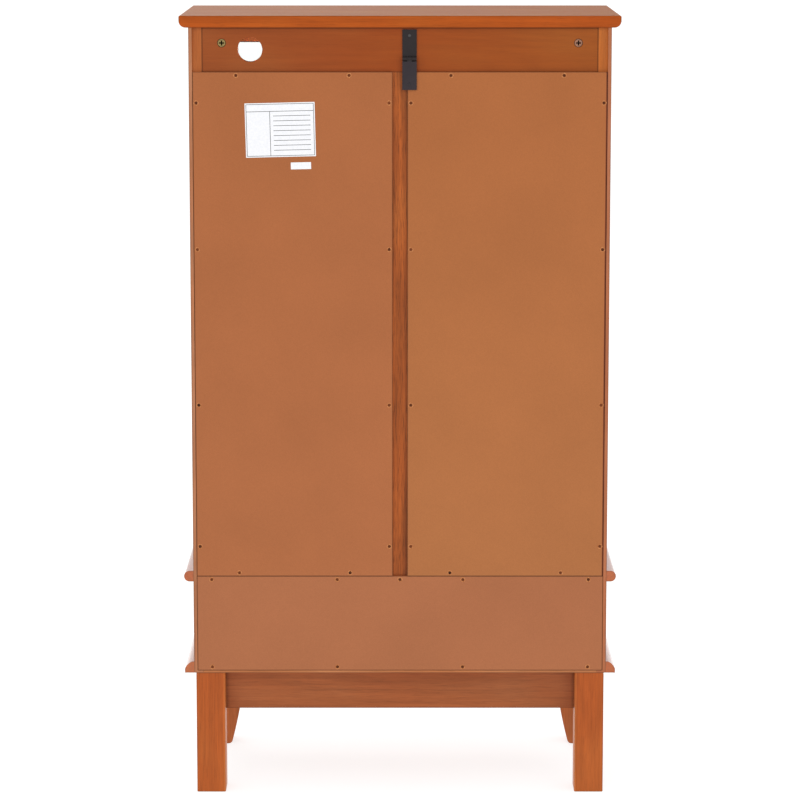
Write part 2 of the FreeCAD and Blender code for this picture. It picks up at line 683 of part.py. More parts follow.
def door_member(x, z):
    """Plain stile or rail, eased where its face meets the door's outline."""
    def chosen(way, middle):
        to_outline = [middle.x - x_door_inner, middle.x - x_door_outer,
                      middle.z - z_door_low, middle.z - z_door_high]
        return abs(middle.y - y_front) < 0.01 and min(abs(gap) for gap in to_outline) < 0.01
    return eased(box(x, (y_front, y_door_rear), z), DOOR_EASE, chosen)


def door_bevel():
    """Block that tapers from the door's face to the opening behind it, cut away round the glass."""
    seen = DOOR_MEMBER_WIDTH
    wide = DOOR_BEVEL
    left, right = x_door_inner + seen, x_door_outer - seen
    low, high = z_door_low + seen, z_door_high - seen
    return Part.makeWedge(left - wide, y_front, low - wide, low, left,
                          right + wide, y_front + wide, high + wide, high, right)


def door_stile(inner_edge, out):
    """Upright door member; out is +1 or -1, from its glass edge to its outer edge."""
    low = z_door_low + DOOR_MEMBER_WIDTH - REBATE_WIDTH
    high = z_door_high - DOOR_MEMBER_WIDTH + REBATE_WIDTH
    outer_edge = inner_edge + out * DOOR_MEMBER_WIDTH
    board = door_member((inner_edge, outer_edge), (z_door_low, z_door_high))
    rebate = box((inner_edge, inner_edge + out * REBATE_WIDTH), (y_glass, y_door_rear), (low, high))
    cuts = [rebate, door_bevel()]
    mortise_end = inner_edge + out * (DOOR_TENON_LENGTH + FIT_CLEARANCE)
    for height in door_tenon_heights(FIT_CLEARANCE):
        cuts.append(box((inner_edge, mortise_end), door_tenon_depth(FIT_CLEARANCE), height))
    return board.cut(cuts)


def door_hinge_stile(side):
    return mirrored(door_stile(x_door_outer - DOOR_MEMBER_WIDTH, 1), side)


def door_meeting_stile(side):
    stile = door_stile(x_door_inner + DOOR_MEMBER_WIDTH, -1)
    return mirrored(stile.cut(knob_hole(*door_knob_place())), side)


def door_rails(side):
    """Lower and upper rail, each rebated for the glass and tenoned into both stiles."""
    low_edge = z_door_low + DOOR_MEMBER_WIDTH
    high_edge = z_door_high - DOOR_MEMBER_WIDTH
    width = (x_door_inner + DOOR_MEMBER_WIDTH, x_door_outer - DOOR_MEMBER_WIDTH)
    tenon_width = (width[0] - DOOR_TENON_LENGTH, width[1] + DOOR_TENON_LENGTH)
    lower, upper = door_tenon_heights(0)
    rails = []
    for outer, inner, way, height in ((z_door_low, low_edge, -1, lower), (z_door_high, high_edge, 1, upper)):
        rebate = box(width, (y_glass, y_door_rear), (inner, inner + way * REBATE_WIDTH))
        rail = door_member(width, (outer, inner)).cut([rebate, door_bevel()])
        rails.append(mirrored(rail.fuse(box(tenon_width, door_tenon_depth(0), height)), side))
    return Part.makeCompound(rails)


def glass_seat(clearance):
    """Width and height ranges of the rebate round a door's opening, less a clearance."""
    inset = DOOR_MEMBER_WIDTH - REBATE_WIDTH + clearance
    return (x_door_inner + inset, x_door_outer - inset), (z_door_low + inset, z_door_high - inset)


def door_glass(side):
    width, height = glass_seat(GLASS_CLEARANCE)
    return mirrored(box(width, (y_glass, y_glass + GLASS_THICKNESS), height), side)


def door_beads(side):
    """Four strips that hold the glass in its rebate, their inner edges rounded."""
    width, height = glass_seat(0)
    depth = (y_door_rear - BEAD_THICKNESS, y_door_rear)
    beads = []
    for wall, way in ((width[0], 1), (width[1], -1)):
        bead = box((wall, wall + way * REBATE_WIDTH), depth, height)
        beads.append(rounded_bead(bead, lambda middle, edge=wall + way * REBATE_WIDTH: middle.x - edge))
    between = (width[0] + REBATE_WIDTH, width[1] - REBATE_WIDTH)
    for wall, way in ((height[0], 1), (height[1], -1)):
        bead = box(between, depth, (wall, wall + way * REBATE_WIDTH))
        beads.append(rounded_bead(bead, lambda middle, edge=wall + way * REBATE_WIDTH: middle.z - edge))
    return Part.makeCompound([mirrored(bead, side) for bead in beads])


def rounded_bead(bead, off_edge):
    """Rounds the one long edge of a bead that faces into the cabinet beside the glass."""
    def chosen(way, middle):
        return abs(way.y) < 0.01 and abs(off_edge(middle)) < 0.01 and abs(middle.y - y_door_rear) < 0.01
    return eased(bead, BEAD_ROUND, chosen)


def knob(x, z):
    """Turned knob with a stud, standing on the front plane."""
    base = vec(KNOB_BASE_RADIUS, 0, 0)
    neck = vec(KNOB_NECK_RADIUS, -KNOB_NECK_AT, 0)
    rim = vec(KNOB_RADIUS, -KNOB_RIM_AT, 0)
    crown = vec(0, -KNOB_LENGTH, 0)
    hollow = vec(0.6 * KNOB_NECK_RADIUS + 0.4 * KNOB_BASE_RADIUS, -0.35 * KNOB_NECK_AT, 0)
    swell = vec(0.35 * KNOB_NECK_RADIUS + 0.65 * KNOB_RADIUS, -0.5 * (KNOB_NECK_AT + KNOB_RIM_AT), 0)
    dome = cap(KNOB_RADIUS, -KNOB_RIM_AT, KNOB_RIM_AT - KNOB_LENGTH)
    outline = [arc(base, hollow, neck), arc(neck, swell, rim), dome, line(crown, ORIGIN), line(ORIGIN, base)]
    turned = Part.Face(Part.Wire(outline)).revolve(ORIGIN, Y, 360)
    turned.translate(vec(x, y_front, z))
    return turned.fuse(rod(KNOB_STUD_RADIUS, (x, y_front, z), Y, KNOB_STUD_LENGTH))


def knob_hole(x, z):
    return rod(KNOB_STUD_RADIUS + FIT_CLEARANCE, (x, y_front, z), Y, KNOB_STUD_LENGTH + FIT_CLEARANCE)


def door_knob_place():
    return x_door_inner + DOOR_MEMBER_WIDTH / 2, (z_door_low + z_door_high) / 2


def door_knob(side):
    return mirrored(knob(*door_knob_place()), side)


def door_strike(side):
    """Steel plate on the door's rear face that the catch holds."""
    x = x_door_inner + STRIKE_INSET
    z = z_door_high - STRIKE_INSET
    depth = (y_door_rear, y_door_rear + STRIKE_THICKNESS)
    return mirrored(box((x, x + STRIKE_WIDTH), depth, (z - STRIKE_HEIGHT, z)), side)


def door_catch():
    """Double magnetic catch under the top, behind the meeting stiles."""
    front = y_door_rear + STRIKE_THICKNESS + CATCH_AIR
    width = (-CATCH_WIDTH / 2, CATCH_WIDTH / 2)
    return box(width, (front, front + CATCH_DEPTH), (z_top_under - CATCH_HEIGHT, z_top_under))


# Door hinges

def hinge_starts():
    """Heights of the lower ends of a door's hinges."""
    return z_door_low + HINGE_INSET, z_door_high - HINGE_INSET - HINGE_LENGTH


def hinge_half(start, x, knuckles):
    """Leaf between two values of x, with the knuckles of the given places in the barrel."""
    length = (HINGE_LENGTH - 2 * KNUCKLE_PLAY) / 3
    leaf = box(x, (y_front, y_front + LEAF_WIDTH), (start, start + HINGE_LENGTH))
    pieces = []
    for place in knuckles:
        low = start + place * (length + KNUCKLE_PLAY)
        pieces.append(box(x, (y_hinge_axis, y_front), (low, low + length)))
        pieces.append(rod(KNUCKLE_RADIUS, (x_hinge_axis, y_hinge_axis, low), Z, length))
    bore = rod(HINGE_PIN_RADIUS + PIN_CLEARANCE, (x_hinge_axis, y_hinge_axis, start), Z, HINGE_LENGTH)
    return leaf.fuse(pieces).cut(bore)


def hinge_cabinet_leaves():
    """Leaves on the side panels, with the outer knuckles."""
    x = (x_hinge_axis + LEAF_CLEARANCE, inner_half)
    return Part.makeCompound([pair(hinge_half(start, x, (0, 2))) for start in hinge_starts()])


def hinge_door_leaves(side):
    """Leaves on a door's edge, with the middle knuckles."""
    x = (x_door_outer, x_hinge_axis - LEAF_CLEARANCE)
    return Part.makeCompound([mirrored(hinge_half(start, x, (1,)), side) for start in hinge_starts()])


def hinge_pins():
    """Headed pins of the door hinges."""
    pins = []
    for start in hinge_starts():
        foot = (x_hinge_axis, y_hinge_axis, start)
        end = (x_hinge_axis, y_hinge_axis, start + HINGE_LENGTH)
        pin = rod(HINGE_PIN_RADIUS, foot, Z, HINGE_LENGTH)
        heads = [rod(PIN_HEAD_RADIUS, foot, -Z, PIN_HEAD_HEIGHT),
                 rod(PIN_HEAD_RADIUS, end, Z, PIN_HEAD_HEIGHT)]
        pins.append(pair(pin.fuse(heads)))
    return Part.makeCompound(pins)


# Drawer

def drawer_knob_places():
    z = (z_bottom_top + z_waist_under) / 2
    return [(side * DRAWER_KNOB_SPACING / 2, z) for side in BOTH]


def drawer_front():
    """Inset front, grooved for the box sides and the drawer bottom."""
    reach = inner_half - DRAWER_GAP
    height = (z_bottom_top + DRAWER_GAP, z_waist_under - DRAWER_GAP)
    board = box((-reach, reach), (y_front, y_drawer_front_rear), height)
    front = eased(board, DRAWER_EASE, lambda way, middle: abs(middle.y - y_front) < 0.01)
    depth = (y_drawer_front_rear - DRAWER_GROOVE_DEPTH, y_drawer_front_rear)
    side_grooves = pair(box((box_inner_half, box_half), depth, (z_box_low, z_box_high)))
    bottom_groove = box((-box_half, box_half), depth, (z_groove, z_groove + DRAWER_BOTTOM_THICKNESS))
    return front.cut([side_grooves, bottom_groove, *[knob_hole(x, z) for x, z in drawer_knob_places()]])


def drawer_sides():
    """Box sides, each with the groove of the drawer bottom."""
    depth = (y_drawer_front_rear - DRAWER_GROOVE_DEPTH, y_box_rear)
    board = box((box_inner_half, box_half), depth, (z_box_low, z_box_high))
    groove = box((box_inner_half, box_inner_half + DRAWER_GROOVE_DEPTH), depth,
                 (z_groove, z_groove + DRAWER_BOTTOM_THICKNESS))
    return pair(board.cut(groove))


def drawer_back():
    """Box back, standing on the drawer bottom."""
    depth = (y_box_rear - DRAWER_SIDE_THICKNESS, y_box_rear)
    return box((-box_inner_half, box_inner_half), depth, (z_groove + DRAWER_BOTTOM_THICKNESS, z_box_high))


def drawer_bottom():
    reach = box_inner_half + DRAWER_GROOVE_DEPTH
    depth = (y_drawer_front_rear - DRAWER_GROOVE_DEPTH, y_box_rear)
    return box((-reach, reach), depth, (z_groove, z_groove + DRAWER_BOTTOM_THICKNESS))


def drawer_knobs():
    return Part.makeCompound([knob(x, z) for x, z in drawer_knob_places()])


def channel(x_web, x_lips, height):
    """Steel channel with its web at one value of x and the ends of its lips at another."""
    way = 1 if x_lips > x_web else -1
    depth = (y_drawer_front_rear, y_box_rear)
    solid = box((x_web, x_lips), depth, (z_runner - height / 2, z_runner + height / 2))
    inside = height / 2 - RUNNER_SHEET
    return solid.cut(box((x_web + way * RUNNER_SHEET, x_lips), depth, (z_runner - inside, z_runner + inside)))


def drawer_runners():
    """Outer members of the runners, on the side panels."""
    return pair(channel(inner_half, box_half + RUNNER_SHEET + RUNNER_PLAY, RUNNER_HEIGHT))


def drawer_slides():
    """Inner members of the runners, on the drawer box."""
    height = RUNNER_HEIGHT - 2 * (RUNNER_SHEET + RUNNER_PLAY)
    return pair(channel(box_half, inner_half - RUNNER_SHEET - RUNNER_PLAY, height))


# Shelves

def shelf_depth():
    return y_door_rear + SHELF_FRONT_GAP, y_stile_front - SHELF_REAR_GAP


def shelf_heights():
    """Undersides of the shelves, which divide the display bay evenly."""
    spacing = (z_top_under - z_waist_top) / (SHELF_COUNT + 1)
    return [z_waist_top + spacing * (n + 1) for n in range(SHELF_COUNT)]


def shelf_pin_places():
    """(y, z) of the pins in one side panel."""
    front, rear = shelf_depth()
    return [(y, z - PIN_PAD_THICKNESS / 2)
            for z in shelf_heights()
            for y in (front + PIN_INSET, rear - PIN_INSET)]


def glass_shelf(z):
    reach = inner_half - SHELF_SIDE_GAP
    pane = box((-reach, reach), shelf_depth(), (z, z + SHELF_THICKNESS))
    return eased(pane, SHELF_EASE, lambda way, middle: abs(way.x) > 0.99)


def shelf_pins():
    """Pins with flat pads that the glass shelves lie on."""
    pins = []
    for y, z in shelf_pin_places():
        pin = rod(PIN_RADIUS, (inner_half, y, z), X, PIN_DEPTH)
        pad = box((inner_half - PIN_PAD_LENGTH, inner_half), (y - PIN_PAD_WIDTH / 2, y + PIN_PAD_WIDTH / 2),
                  (z - PIN_PAD_THICKNESS / 2, z + PIN_PAD_THICKNESS / 2))
        pins.append(pair(pad.fuse(pin)))
    return Part.makeCompound(pins)


# Light

def light_centre(drop):
    """Point on the light's axis, below the top."""
    return 0, (y_door_rear + y_stile_front) / 2, z_top_under - drop


def light_housing():
    """Cup under the top with a step for the lens and an inlet at the rear."""
    mouth = LIGHT_RADIUS - LIGHT_WALL
    cup = rod(LIGHT_RADIUS, light_centre(0), -Z, LIGHT_DEPTH)
    inside = rod(mouth - LENS_SEAT, light_centre(LIGHT_WALL), -Z, LIGHT_DEPTH - LIGHT_WALL)
    seat = rod(mouth, light_centre(LIGHT_DEPTH - LENS_THICKNESS), -Z, LENS_THICKNESS)
    inlet = rod(LIGHT_INLET_RADIUS, light_centre(LIGHT_DEPTH / 2), Y, LIGHT_RADIUS)
    return cup.cut([inside, seat, inlet])


def light_lens():
    radius = LIGHT_RADIUS - LIGHT_WALL - FIT_CLEARANCE
    return rod(radius, light_centre(LIGHT_DEPTH - LENS_THICKNESS), -Z, LENS_THICKNESS)


def light_led_board():
    radius = LIGHT_RADIUS - LIGHT_WALL - LENS_SEAT - FIT_CLEARANCE
    return rod(radius, light_centre(LIGHT_WALL), -Z, LED_BOARD_THICKNESS)


# Tip bracket

def tip_range(place):
    """Range along X of one of the bracket's three knuckles."""
    length = (TIP_WIDTH - 2 * KNUCKLE_PLAY) / 3
    low = TIP_X - TIP_WIDTH / 2 + place * (length + KNUCKLE_PLAY)
    return low, low + length


def tip_leaf(depth, z_near, z_far, knuckles):
    """Flat leaf with knuckles about the bracket's axis, its body starting clear of the barrel."""
    leaf = box((TIP_X - TIP_WIDTH / 2, TIP_X + TIP_WIDTH / 2), depth, (z_near, z_far))
    pieces = []
    for place in knuckles:
        low, high = tip_range(place)
        pieces.append(box((low, high), depth, (z_tip_axis, z_near)))
        pieces.append(rod(TIP_KNUCKLE_RADIUS, (low, y_tip_axis, z_tip_axis), X, high - low))
    return leaf.fuse(pieces)


def tip_axis_rod(radius):
    """Cylinder along the bracket's hinge axis."""
    return rod(radius, (TIP_X - TIP_WIDTH / 2, y_tip_axis, z_tip_axis), X, TIP_WIDTH)


def tip_screw_place():
    return TIP_X, y_seat + TIP_THICKNESS, z_top_under - TIP_TOP_GAP - TIP_SCREW_DROP


def tip_screw_hole():
    return screw_hole(*tip_screw_place())


def tip_bracket_plate():
    """Upper leaf, screwed to the back rail, with the hinge pin riveted into its knuckles."""
    depth = (y_seat, y_seat + TIP_THICKNESS)
    plate = tip_leaf(depth, z_tip_axis + tip_axis_off_seat, z_top_under - TIP_TOP_GAP, (0, 2))
    return plate.fuse(tip_axis_rod(TIP_PIN_RADIUS)).cut(tip_screw_hole())


def tip_bracket_flap():
    """Lower leaf, hanging clear of the back panel, with the wall screw's hole."""
    near = y_rear + TIP_FLAP_CLEARANCE
    z_end = z_tip_axis - TIP_FLAP_LENGTH
    flap = tip_leaf((near, near + TIP_THICKNESS), z_tip_axis - tip_axis_off_seat, z_end, (1,))
    wall_hole = rod(TIP_HOLE_RADIUS, (TIP_X, near, z_end + TIP_HOLE_FROM_END), Y, TIP_THICKNESS)
    return flap.cut([tip_axis_rod(TIP_PIN_RADIUS + PIN_CLEARANCE), wall_hole])


def tip_bracket_screw():
    return pan_screw(*tip_screw_place())


# Stickers

def sticker(x, z, width, height):
    """Thin rectangle on the rear face of the right back panel, turned by the shared angle."""
    centre = vec(x, y_rear, z)
    paper = box((x - width / 2, x + width / 2), (y_rear, y_rear + STICKER_THICKNESS),
                (z - height / 2, z + height / 2))
    paper.rotate(centre, Y, LARGE_STICKER_TURN)
    return paper


def stickers():
    x = panel_outer - LARGE_STICKER_FROM_EDGE
    z = z_panel_top - LARGE_STICKER_DROP
    large = sticker(x, z, LARGE_STICKER_WIDTH, LARGE_STICKER_HEIGHT)
    small = sticker(x + SMALL_STICKER_SHIFT, z - SMALL_STICKER_DROP,
                    SMALL_STICKER_WIDTH, SMALL_STICKER_HEIGHT)
    return Part.makeCompound([large, small])


def cabinet_nodes():
    """Pieces that stay with the case."""
    return {
        "top_board": top_board(),
        "left_side_panel": side_panel(LEFT),
        "right_side_panel": side_panel(RIGHT),
        "waist_board": waist_board(),
        "bottom_board": bottom_board(),
        "back_rail": back_rail(),
        "back_stile": back_stile(),
        "left_back_panel": upper_back_panel(LEFT),
        "right_back_panel": upper_back_panel(RIGHT),
        "lower_back_panel": lower_back_panel(),
        "back_panel_screws": back_panel_screws(),
        "rail_cam_locks": cam_locks(),
        "rail_cam_dowels": cam_dowels(),
        "left_rear_leg": rear_leg(LEFT),
        "right_rear_leg": rear_leg(RIGHT),
        "left_front_leg": front_leg(LEFT),
        "right_front_leg": front_leg(RIGHT),
        "rear_apron": rear_apron(),
        "front_apron": front_apron(),
        "side_aprons": side_aprons(),
        "corner_braces": corner_braces(),
        "waist_moulding_front": front_moulding(waist_section),
        "waist_moulding_sides": side_mouldings(waist_section),
        "base_moulding_front": front_moulding(base_section),
        "base_moulding_sides": side_mouldings(base_section),
        "glass_shelves": Part.makeCompound([glass_shelf(z) for z in shelf_heights()]),
        "shelf_pins": shelf_pins(),
        "light_housing": light_housing(),
        "light_lens": light_lens(),
        "light_led_board": light_led_board(),
        "door_catch": door_catch(),
        "hinge_cabinet_leaves": hinge_cabinet_leaves(),
        "hinge_pins": hinge_pins(),
        "drawer_runners": drawer_runners(),
        "tip_bracket_plate": tip_bracket_plate(),
        "tip_bracket_screw": tip_bracket_screw(),
        "blank_stickers": stickers(),
    }


def door_nodes(name, side):
    """Pieces that swing with one door."""
    return {
        name + "_hinge_stile": door_hinge_stile(side),
        name + "_meeting_stile": door_meeting_stile(side),
        name + "_rails": door_rails(side),
        name + "_glass": door_glass(side),
        name + "_glass_beads": door_beads(side),
        name + "_knob": door_knob(side),
        name + "_hinge_leaves": hinge_door_leaves(side),
        name + "_strike": door_strike(side),
    }


def drawer_nodes():
    """Pieces that slide with the drawer."""
    return {
        "drawer_front": drawer_front(),
        "drawer_sides": drawer_sides(),
        "drawer_back": drawer_back(),
        "drawer_bottom": drawer_bottom(),
        "drawer_knobs": drawer_knobs(),
        "drawer_slides": drawer_slides(),
    }


nodes = cabinet_nodes()
nodes["tip_bracket_flap"] = tip_bracket_flap()
nodes.update(door_nodes("left_door", LEFT))
nodes.update(door_nodes("right_door", RIGHT))
nodes.update(drawer_nodes())

os.makedirs("parts", exist_ok=True)
for node, shape in nodes.items():
    shape.exportStep("parts/" + node + ".step")
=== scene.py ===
import math
import random

import bmesh
import bpy
from mathutils import Euler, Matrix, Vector


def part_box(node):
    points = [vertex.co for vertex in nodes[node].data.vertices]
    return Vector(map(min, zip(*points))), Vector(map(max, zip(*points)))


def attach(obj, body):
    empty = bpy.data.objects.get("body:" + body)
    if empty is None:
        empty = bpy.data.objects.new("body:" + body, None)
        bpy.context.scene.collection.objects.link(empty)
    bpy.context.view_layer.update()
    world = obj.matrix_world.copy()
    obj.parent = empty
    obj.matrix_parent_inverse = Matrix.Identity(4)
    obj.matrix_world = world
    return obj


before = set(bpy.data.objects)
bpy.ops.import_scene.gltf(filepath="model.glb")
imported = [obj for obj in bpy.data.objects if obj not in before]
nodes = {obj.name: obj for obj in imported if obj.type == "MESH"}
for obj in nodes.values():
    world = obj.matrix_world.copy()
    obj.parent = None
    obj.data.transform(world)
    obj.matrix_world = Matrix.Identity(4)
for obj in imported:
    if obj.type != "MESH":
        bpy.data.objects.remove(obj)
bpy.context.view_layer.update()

X, Y, Z = range(3)                 # numbers of the axes

# Lengths are in metres unless a comment says otherwise

# Camera
IMAGE_SIDE = 800                   # pixels
SENSOR_WIDTH = 36.0                # millimetres
FOCAL_PIXELS = 3335
EYE_BEHIND = 5.094                 # camera to the rear face of the back panels
EYE_HEIGHT = 1.46
EYE_PITCH = math.radians(8.89)     # looking down
SHIFT_PIXELS = -24
SIGHT_REACH = 200.0

# Floor and lights
FLOOR_REACH = 40.0
FLOOR_COLOUR = (0.36, 0.36, 0.36)
FLOOR_GLOW = 0.76
LIGHT_TARGET = Vector((0, 0, 0.6))
LIGHT_SIZE = 2.5
LIGHTS = {                         # place and watts
    "key": (Vector((1.4, 4.0, 3.4)), 30),
    "fill": (Vector((-2.4, 3.8, 2.4)), 20),
    "front": (Vector((0.9, -3.8, 4.2)), 60),
}
LAMP_DROP = 0.022                  # cabinet's own lamp, below the lens
LAMP_POWER = 4                     # watts
LAMP_RADIUS = 0.02
LAMP_COLOUR = (1.0, 0.92, 0.8)

# Faces and edges of the solids
REAR_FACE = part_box("right_back_panel")[1].y
RAIL_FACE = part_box("back_rail")[1].y
PANEL_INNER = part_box("right_back_panel")[0].x              # upright edge of a panel beside the stile
SIDE_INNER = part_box("right_side_panel")[0].x               # inner face of a side panel
LEG_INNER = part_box("right_rear_leg")[0].x                  # inner face of a rear leg
DOOR_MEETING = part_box("right_door_meeting_stile")[0].x     # edge of a door beside the other door

# Added pieces
PUCKER_HEIGHT = 0.0003             # raised fibres round each back panel screw
PUCKER_SECTION = (                 # radius, share of the height, share by which the radius sways
    (0.0023, -0.2, 0.0),
    (0.0029, 1.0, 0.0),
    (0.00335, 0.7, 0.12),
    (0.0038, -0.2, 0.12),
)
PUCKER_SWELL = 0.6                 # mean share of the height round a ring, and the swing of each wave
PUCKER_SWING = 0.2
PUCKER_WAVES = (2, 3, 5)           # waves round a ring
PUCKER_STEPS = 20
PUCKER_SEED = 7
SCREW_REACH = 0.0076               # points nearer to each other than this are on one screw
PAD_THICKNESS = 0.0004             # pad behind the bracket's flap
PAD_GAP = 0.0001                   # pad to the back panel
PAD_MARGIN = 0.002                 # pad inside the flap's edges
PAD_TOP = 0.022                    # above the flap's lower edge
BACKING_THICKNESS = 0.00025        # strip behind the bracket's hinge
BACKING_HEIGHT = 0.011
POLE_HEIGHT = 0.0018               # steel strips of the door catch
POLE_STANDS_OUT = 0.0002
POLE_INSET = 0.001                 # inside the ends of a strike
POLE_PLACES = (0.25, 0.75)         # shares of a strike's height

# Large sticker on the right back panel
STICKER_CENTRE = Vector((0.183, REAR_FACE, 1.044))
STICKER_TURN = math.radians(1.35)
STICKER_WIDTH = 0.107
STICKER_HEIGHT = 0.083
BORDER_INSET = 0.0020
HALF_LINE = 0.0004
HEADING_DROP = 0.011               # first rule below the border
CELL_WIDTH = 0.036                 # blank cell beside the ruled lines
RULE_SPACING = 0.0075
RULE_MARGIN = 0.1                  # rules to the border and the cell, as a share of half the border's size

# Colours of wood and hardboard, linear
CASE_COLOUR = (0.385, 0.083, 0.012)
TOP_COLOUR = (0.370, 0.070, 0.006)
RAIL_COLOUR = (0.265, 0.050, 0.005)
STILE_COLOUR = (0.345, 0.080, 0.012)
APRON_COLOUR = (0.315, 0.086, 0.024)
PLAIN_COLOUR = (0.56, 0.39, 0.22)
RIGHT_BOARD_COLOUR = (0.332, 0.103, 0.030)
LEFT_BOARD_COLOUR = (0.338, 0.105, 0.027)
LOWER_BOARD_COLOUR = (0.353, 0.121, 0.047)
FIBRE_COLOUR = (0.58, 0.25, 0.10)

# Colours of the rest, linear
SCREW_COLOUR = (0.13, 0.034, 0.010)
CAM_COLOUR = (0.27, 0.2, 0.08)
ZINC_COLOUR = (0.55, 0.54, 0.5)
STEEL_COLOUR = (0.5, 0.5, 0.5)
BRASS_COLOUR = (0.5, 0.33, 0.12)
BRACKET_SCREW_COLOUR = (0.07, 0.07, 0.07)           # dark grey of the bracket's screw, lighter than the bracket's coat
BRACKET_COLOUR = (0.022, 0.015, 0.019)
FOAM_COLOUR = (0.045, 0.037, 0.042)
# Felt behind the bracket's hinge, painted lighter than black against the shade in the hinge's gaps
FELT_COLOUR = (0.10, 0.09, 0.095)
CATCH_COLOUR = (0.18, 0.09, 0.05)
GLASS_COLOUR = (0.93, 0.98, 0.96, 1)
HOUSING_COLOUR = (0.8, 0.8, 0.78)
LED_BOARD_COLOUR = (0.75, 0.76, 0.7)
LENS_COLOURS = ((0.82, 0.8, 0.74), (0.9, 0.88, 0.83))
GLOW_COLOUR = (1.0, 0.86, 0.62, 1)
GLOW_STRENGTH = 3.0
PAPER_COLOURS = ((0.72, 0.73, 0.76), (0.80, 0.80, 0.82))
INK_COLOUR = (0.04, 0.04, 0.045)

# Grain and edges of wood and hardboard
RING_WAVE = 95.0                   # radians of the growth rings over the range of the figure
REDDER = (0.97, 0.93, 0.9)         # tints at the stain's two ends
YELLOWER = (1.03, 1.12, 1.25)
COAT_ROUGHNESS = 0.05
# Darker edges: partly painted shade where parts meet, partly the edges' own darker colour
EDGE_LINE = 0.0002                 # width of the darkest line along an edge
WOOD_EDGE_WIDTH = 0.0016           # width in which an edge's darkness fades out
WOOD_EDGE_SHARE = 0.62             # share of the colour that an edge keeps
BOARD_EDGE_WIDTH = 0.0011
UPPER_EDGE_SHARE = 0.55            # edges of the upper back panels
LOWER_EDGE_SHARE = 0.8

# Tints that the colours take on some faces, painted light and shade among them
REAR_FACE_TINTS = {                        # rear faces, by a part of the board's name
    # The doors' inner faces are painted paler: painted light and sheen
    "_door_": (0.95, 1.7, 5.0),
    "_front_leg": (1.05, 1.34, 2.5),
    "bottom_board": (1.13, 1.85, 4.5),
}
SIDE_STRIP_TINTS = {"left_side_panel": (1.15, 1.4, 1.3), "right_side_panel": (1.0, 1.18, 1.5)}
SIDE_LIP_TINTS = {"left_side_panel": (0.87, 1.08, 3.3), "right_side_panel": (1.0, 1.5, 3.6)}
BEAD_EDGE_SHADE = (0.48, 0.85, 2.3)         # painted shade on the glass beads, in the corner beside the pane
LEG_EDGE_HIGHLIGHT = (1.4, 1.8, 2.6)            # painted highlight on the inner edges of the rear legs
TOP_FACE_TINT = (0.74, 1.1, 0.94)
RIGHT_RAIL_TINT = (1.0, 1.25, 2.4)         # towards the ends of the back rail
LEFT_RAIL_TINT = (1.05, 1.35, 1.6)
RIGHT_BOARD_LIGHT = (1.08, 1.13, 1.29)      # painted light towards the lower ends of the upper back panels
LEFT_BOARD_LIGHT = (1.09, 1.24, 1.46)
LEFT_SEAM_SHADE = (0.4, 0.2, 0.15)          # painted shadow in the gap at the outer edge of the left back panel
LEFT_CAM_TINT = (1.22, 0.84, 1.4)
BRACKET_PLATE_TINT = (0.6, 0.6, 0.5)

# Depths in which these tints fade out
REAR_FACE_FADE = 0.001
SIDE_STRIP_FADE = 0.004
SIDE_LIP_FADE = 0.002
TOP_FACE_FADE = 0.0005
HINGE_FADE = 0.001                         # either side of the bracket's hinge
CAM_FADE = 0.1                             # either side of the middle, between the cam locks
BEAD_EDGE_DEPTHS = (0.001, 0.0002)         # full and faded out, below the rear face
LEG_EDGE_DEPTHS = (0.0008, 0.003)          # full and faded out, beside the inner face
LEFT_SEAM_DEPTHS = (0.0012, 0.0022)        # full and faded out, beside the outer edge

# Painted shadows and painted light: share of the colour, and the depth in which it fades out
MEETING_EDGE_SHADOW = (0.55, 0.0005)
RAIL_END_SHADOW = (0.4, 0.0025)
RAIL_TOP_SHADOW = (0.6, 0.003)
RAIL_FOOT_SHADOW = (0.45, 0.0015)          # just above the back panels
LEFT_STILE_SHADOW = (0.7, 0.6 * PANEL_INNER)
RIGHT_STILE_SHADOW = (0.8, 0.1 * PANEL_INNER)
APRON_END_SHADOW = (0.6, 0.006)
APRON_TOP_LIGHT = (1.25, 0.025)
CAM_SLOT_SHADOW = (0.06, 0.0007)
CAM_SLOT_DEPTH = 0.0008                    # where the slots are darkest

# Boards by the axis that their grain follows
CASE_BOARDS = {
    "x": ["waist_board", "bottom_board", "front_apron", "left_door_rails", "right_door_rails",
          "drawer_front"],
    "y": ["side_aprons", "left_door_knob", "right_door_knob", "drawer_knobs"],
    "z": ["left_rear_leg", "right_rear_leg", "left_front_leg", "right_front_leg",
          "left_door_hinge_stile", "left_door_meeting_stile", "left_door_glass_beads",
          "right_door_hinge_stile", "right_door_meeting_stile", "right_door_glass_beads"],
}
PLAIN_BOARDS = {"corner_braces": "x", "drawer_back": "x", "drawer_bottom": "x", "drawer_sides": "y"}


# Nodes of a material

def new_material(name):
    """New material, its node tree and its principled shader."""
    material = bpy.data.materials.new(name)
    material.use_nodes = True
    return material, material.node_tree, material.node_tree.nodes["Principled BSDF"]


def feed(tree, socket, value):
    """Links a socket to an output, or sets a plain value on it."""
    if isinstance(value, bpy.types.NodeSocket):
        tree.links.new(value, socket)
    else:
        socket.default_value = value


def feed_all(tree, node, values):
    """Feeds the inputs of a node by their names."""
    for name, value in values.items():
        feed(tree, node.inputs[name], value)


def calculate(tree, operation, first, second=0.0):
    """Result of a math operation on one or two numbers."""
    node = tree.nodes.new("ShaderNodeMath")
    node.operation = operation
    feed(tree, node.inputs[0], first)
    feed(tree, node.inputs[1], second)
    return node.outputs[0]


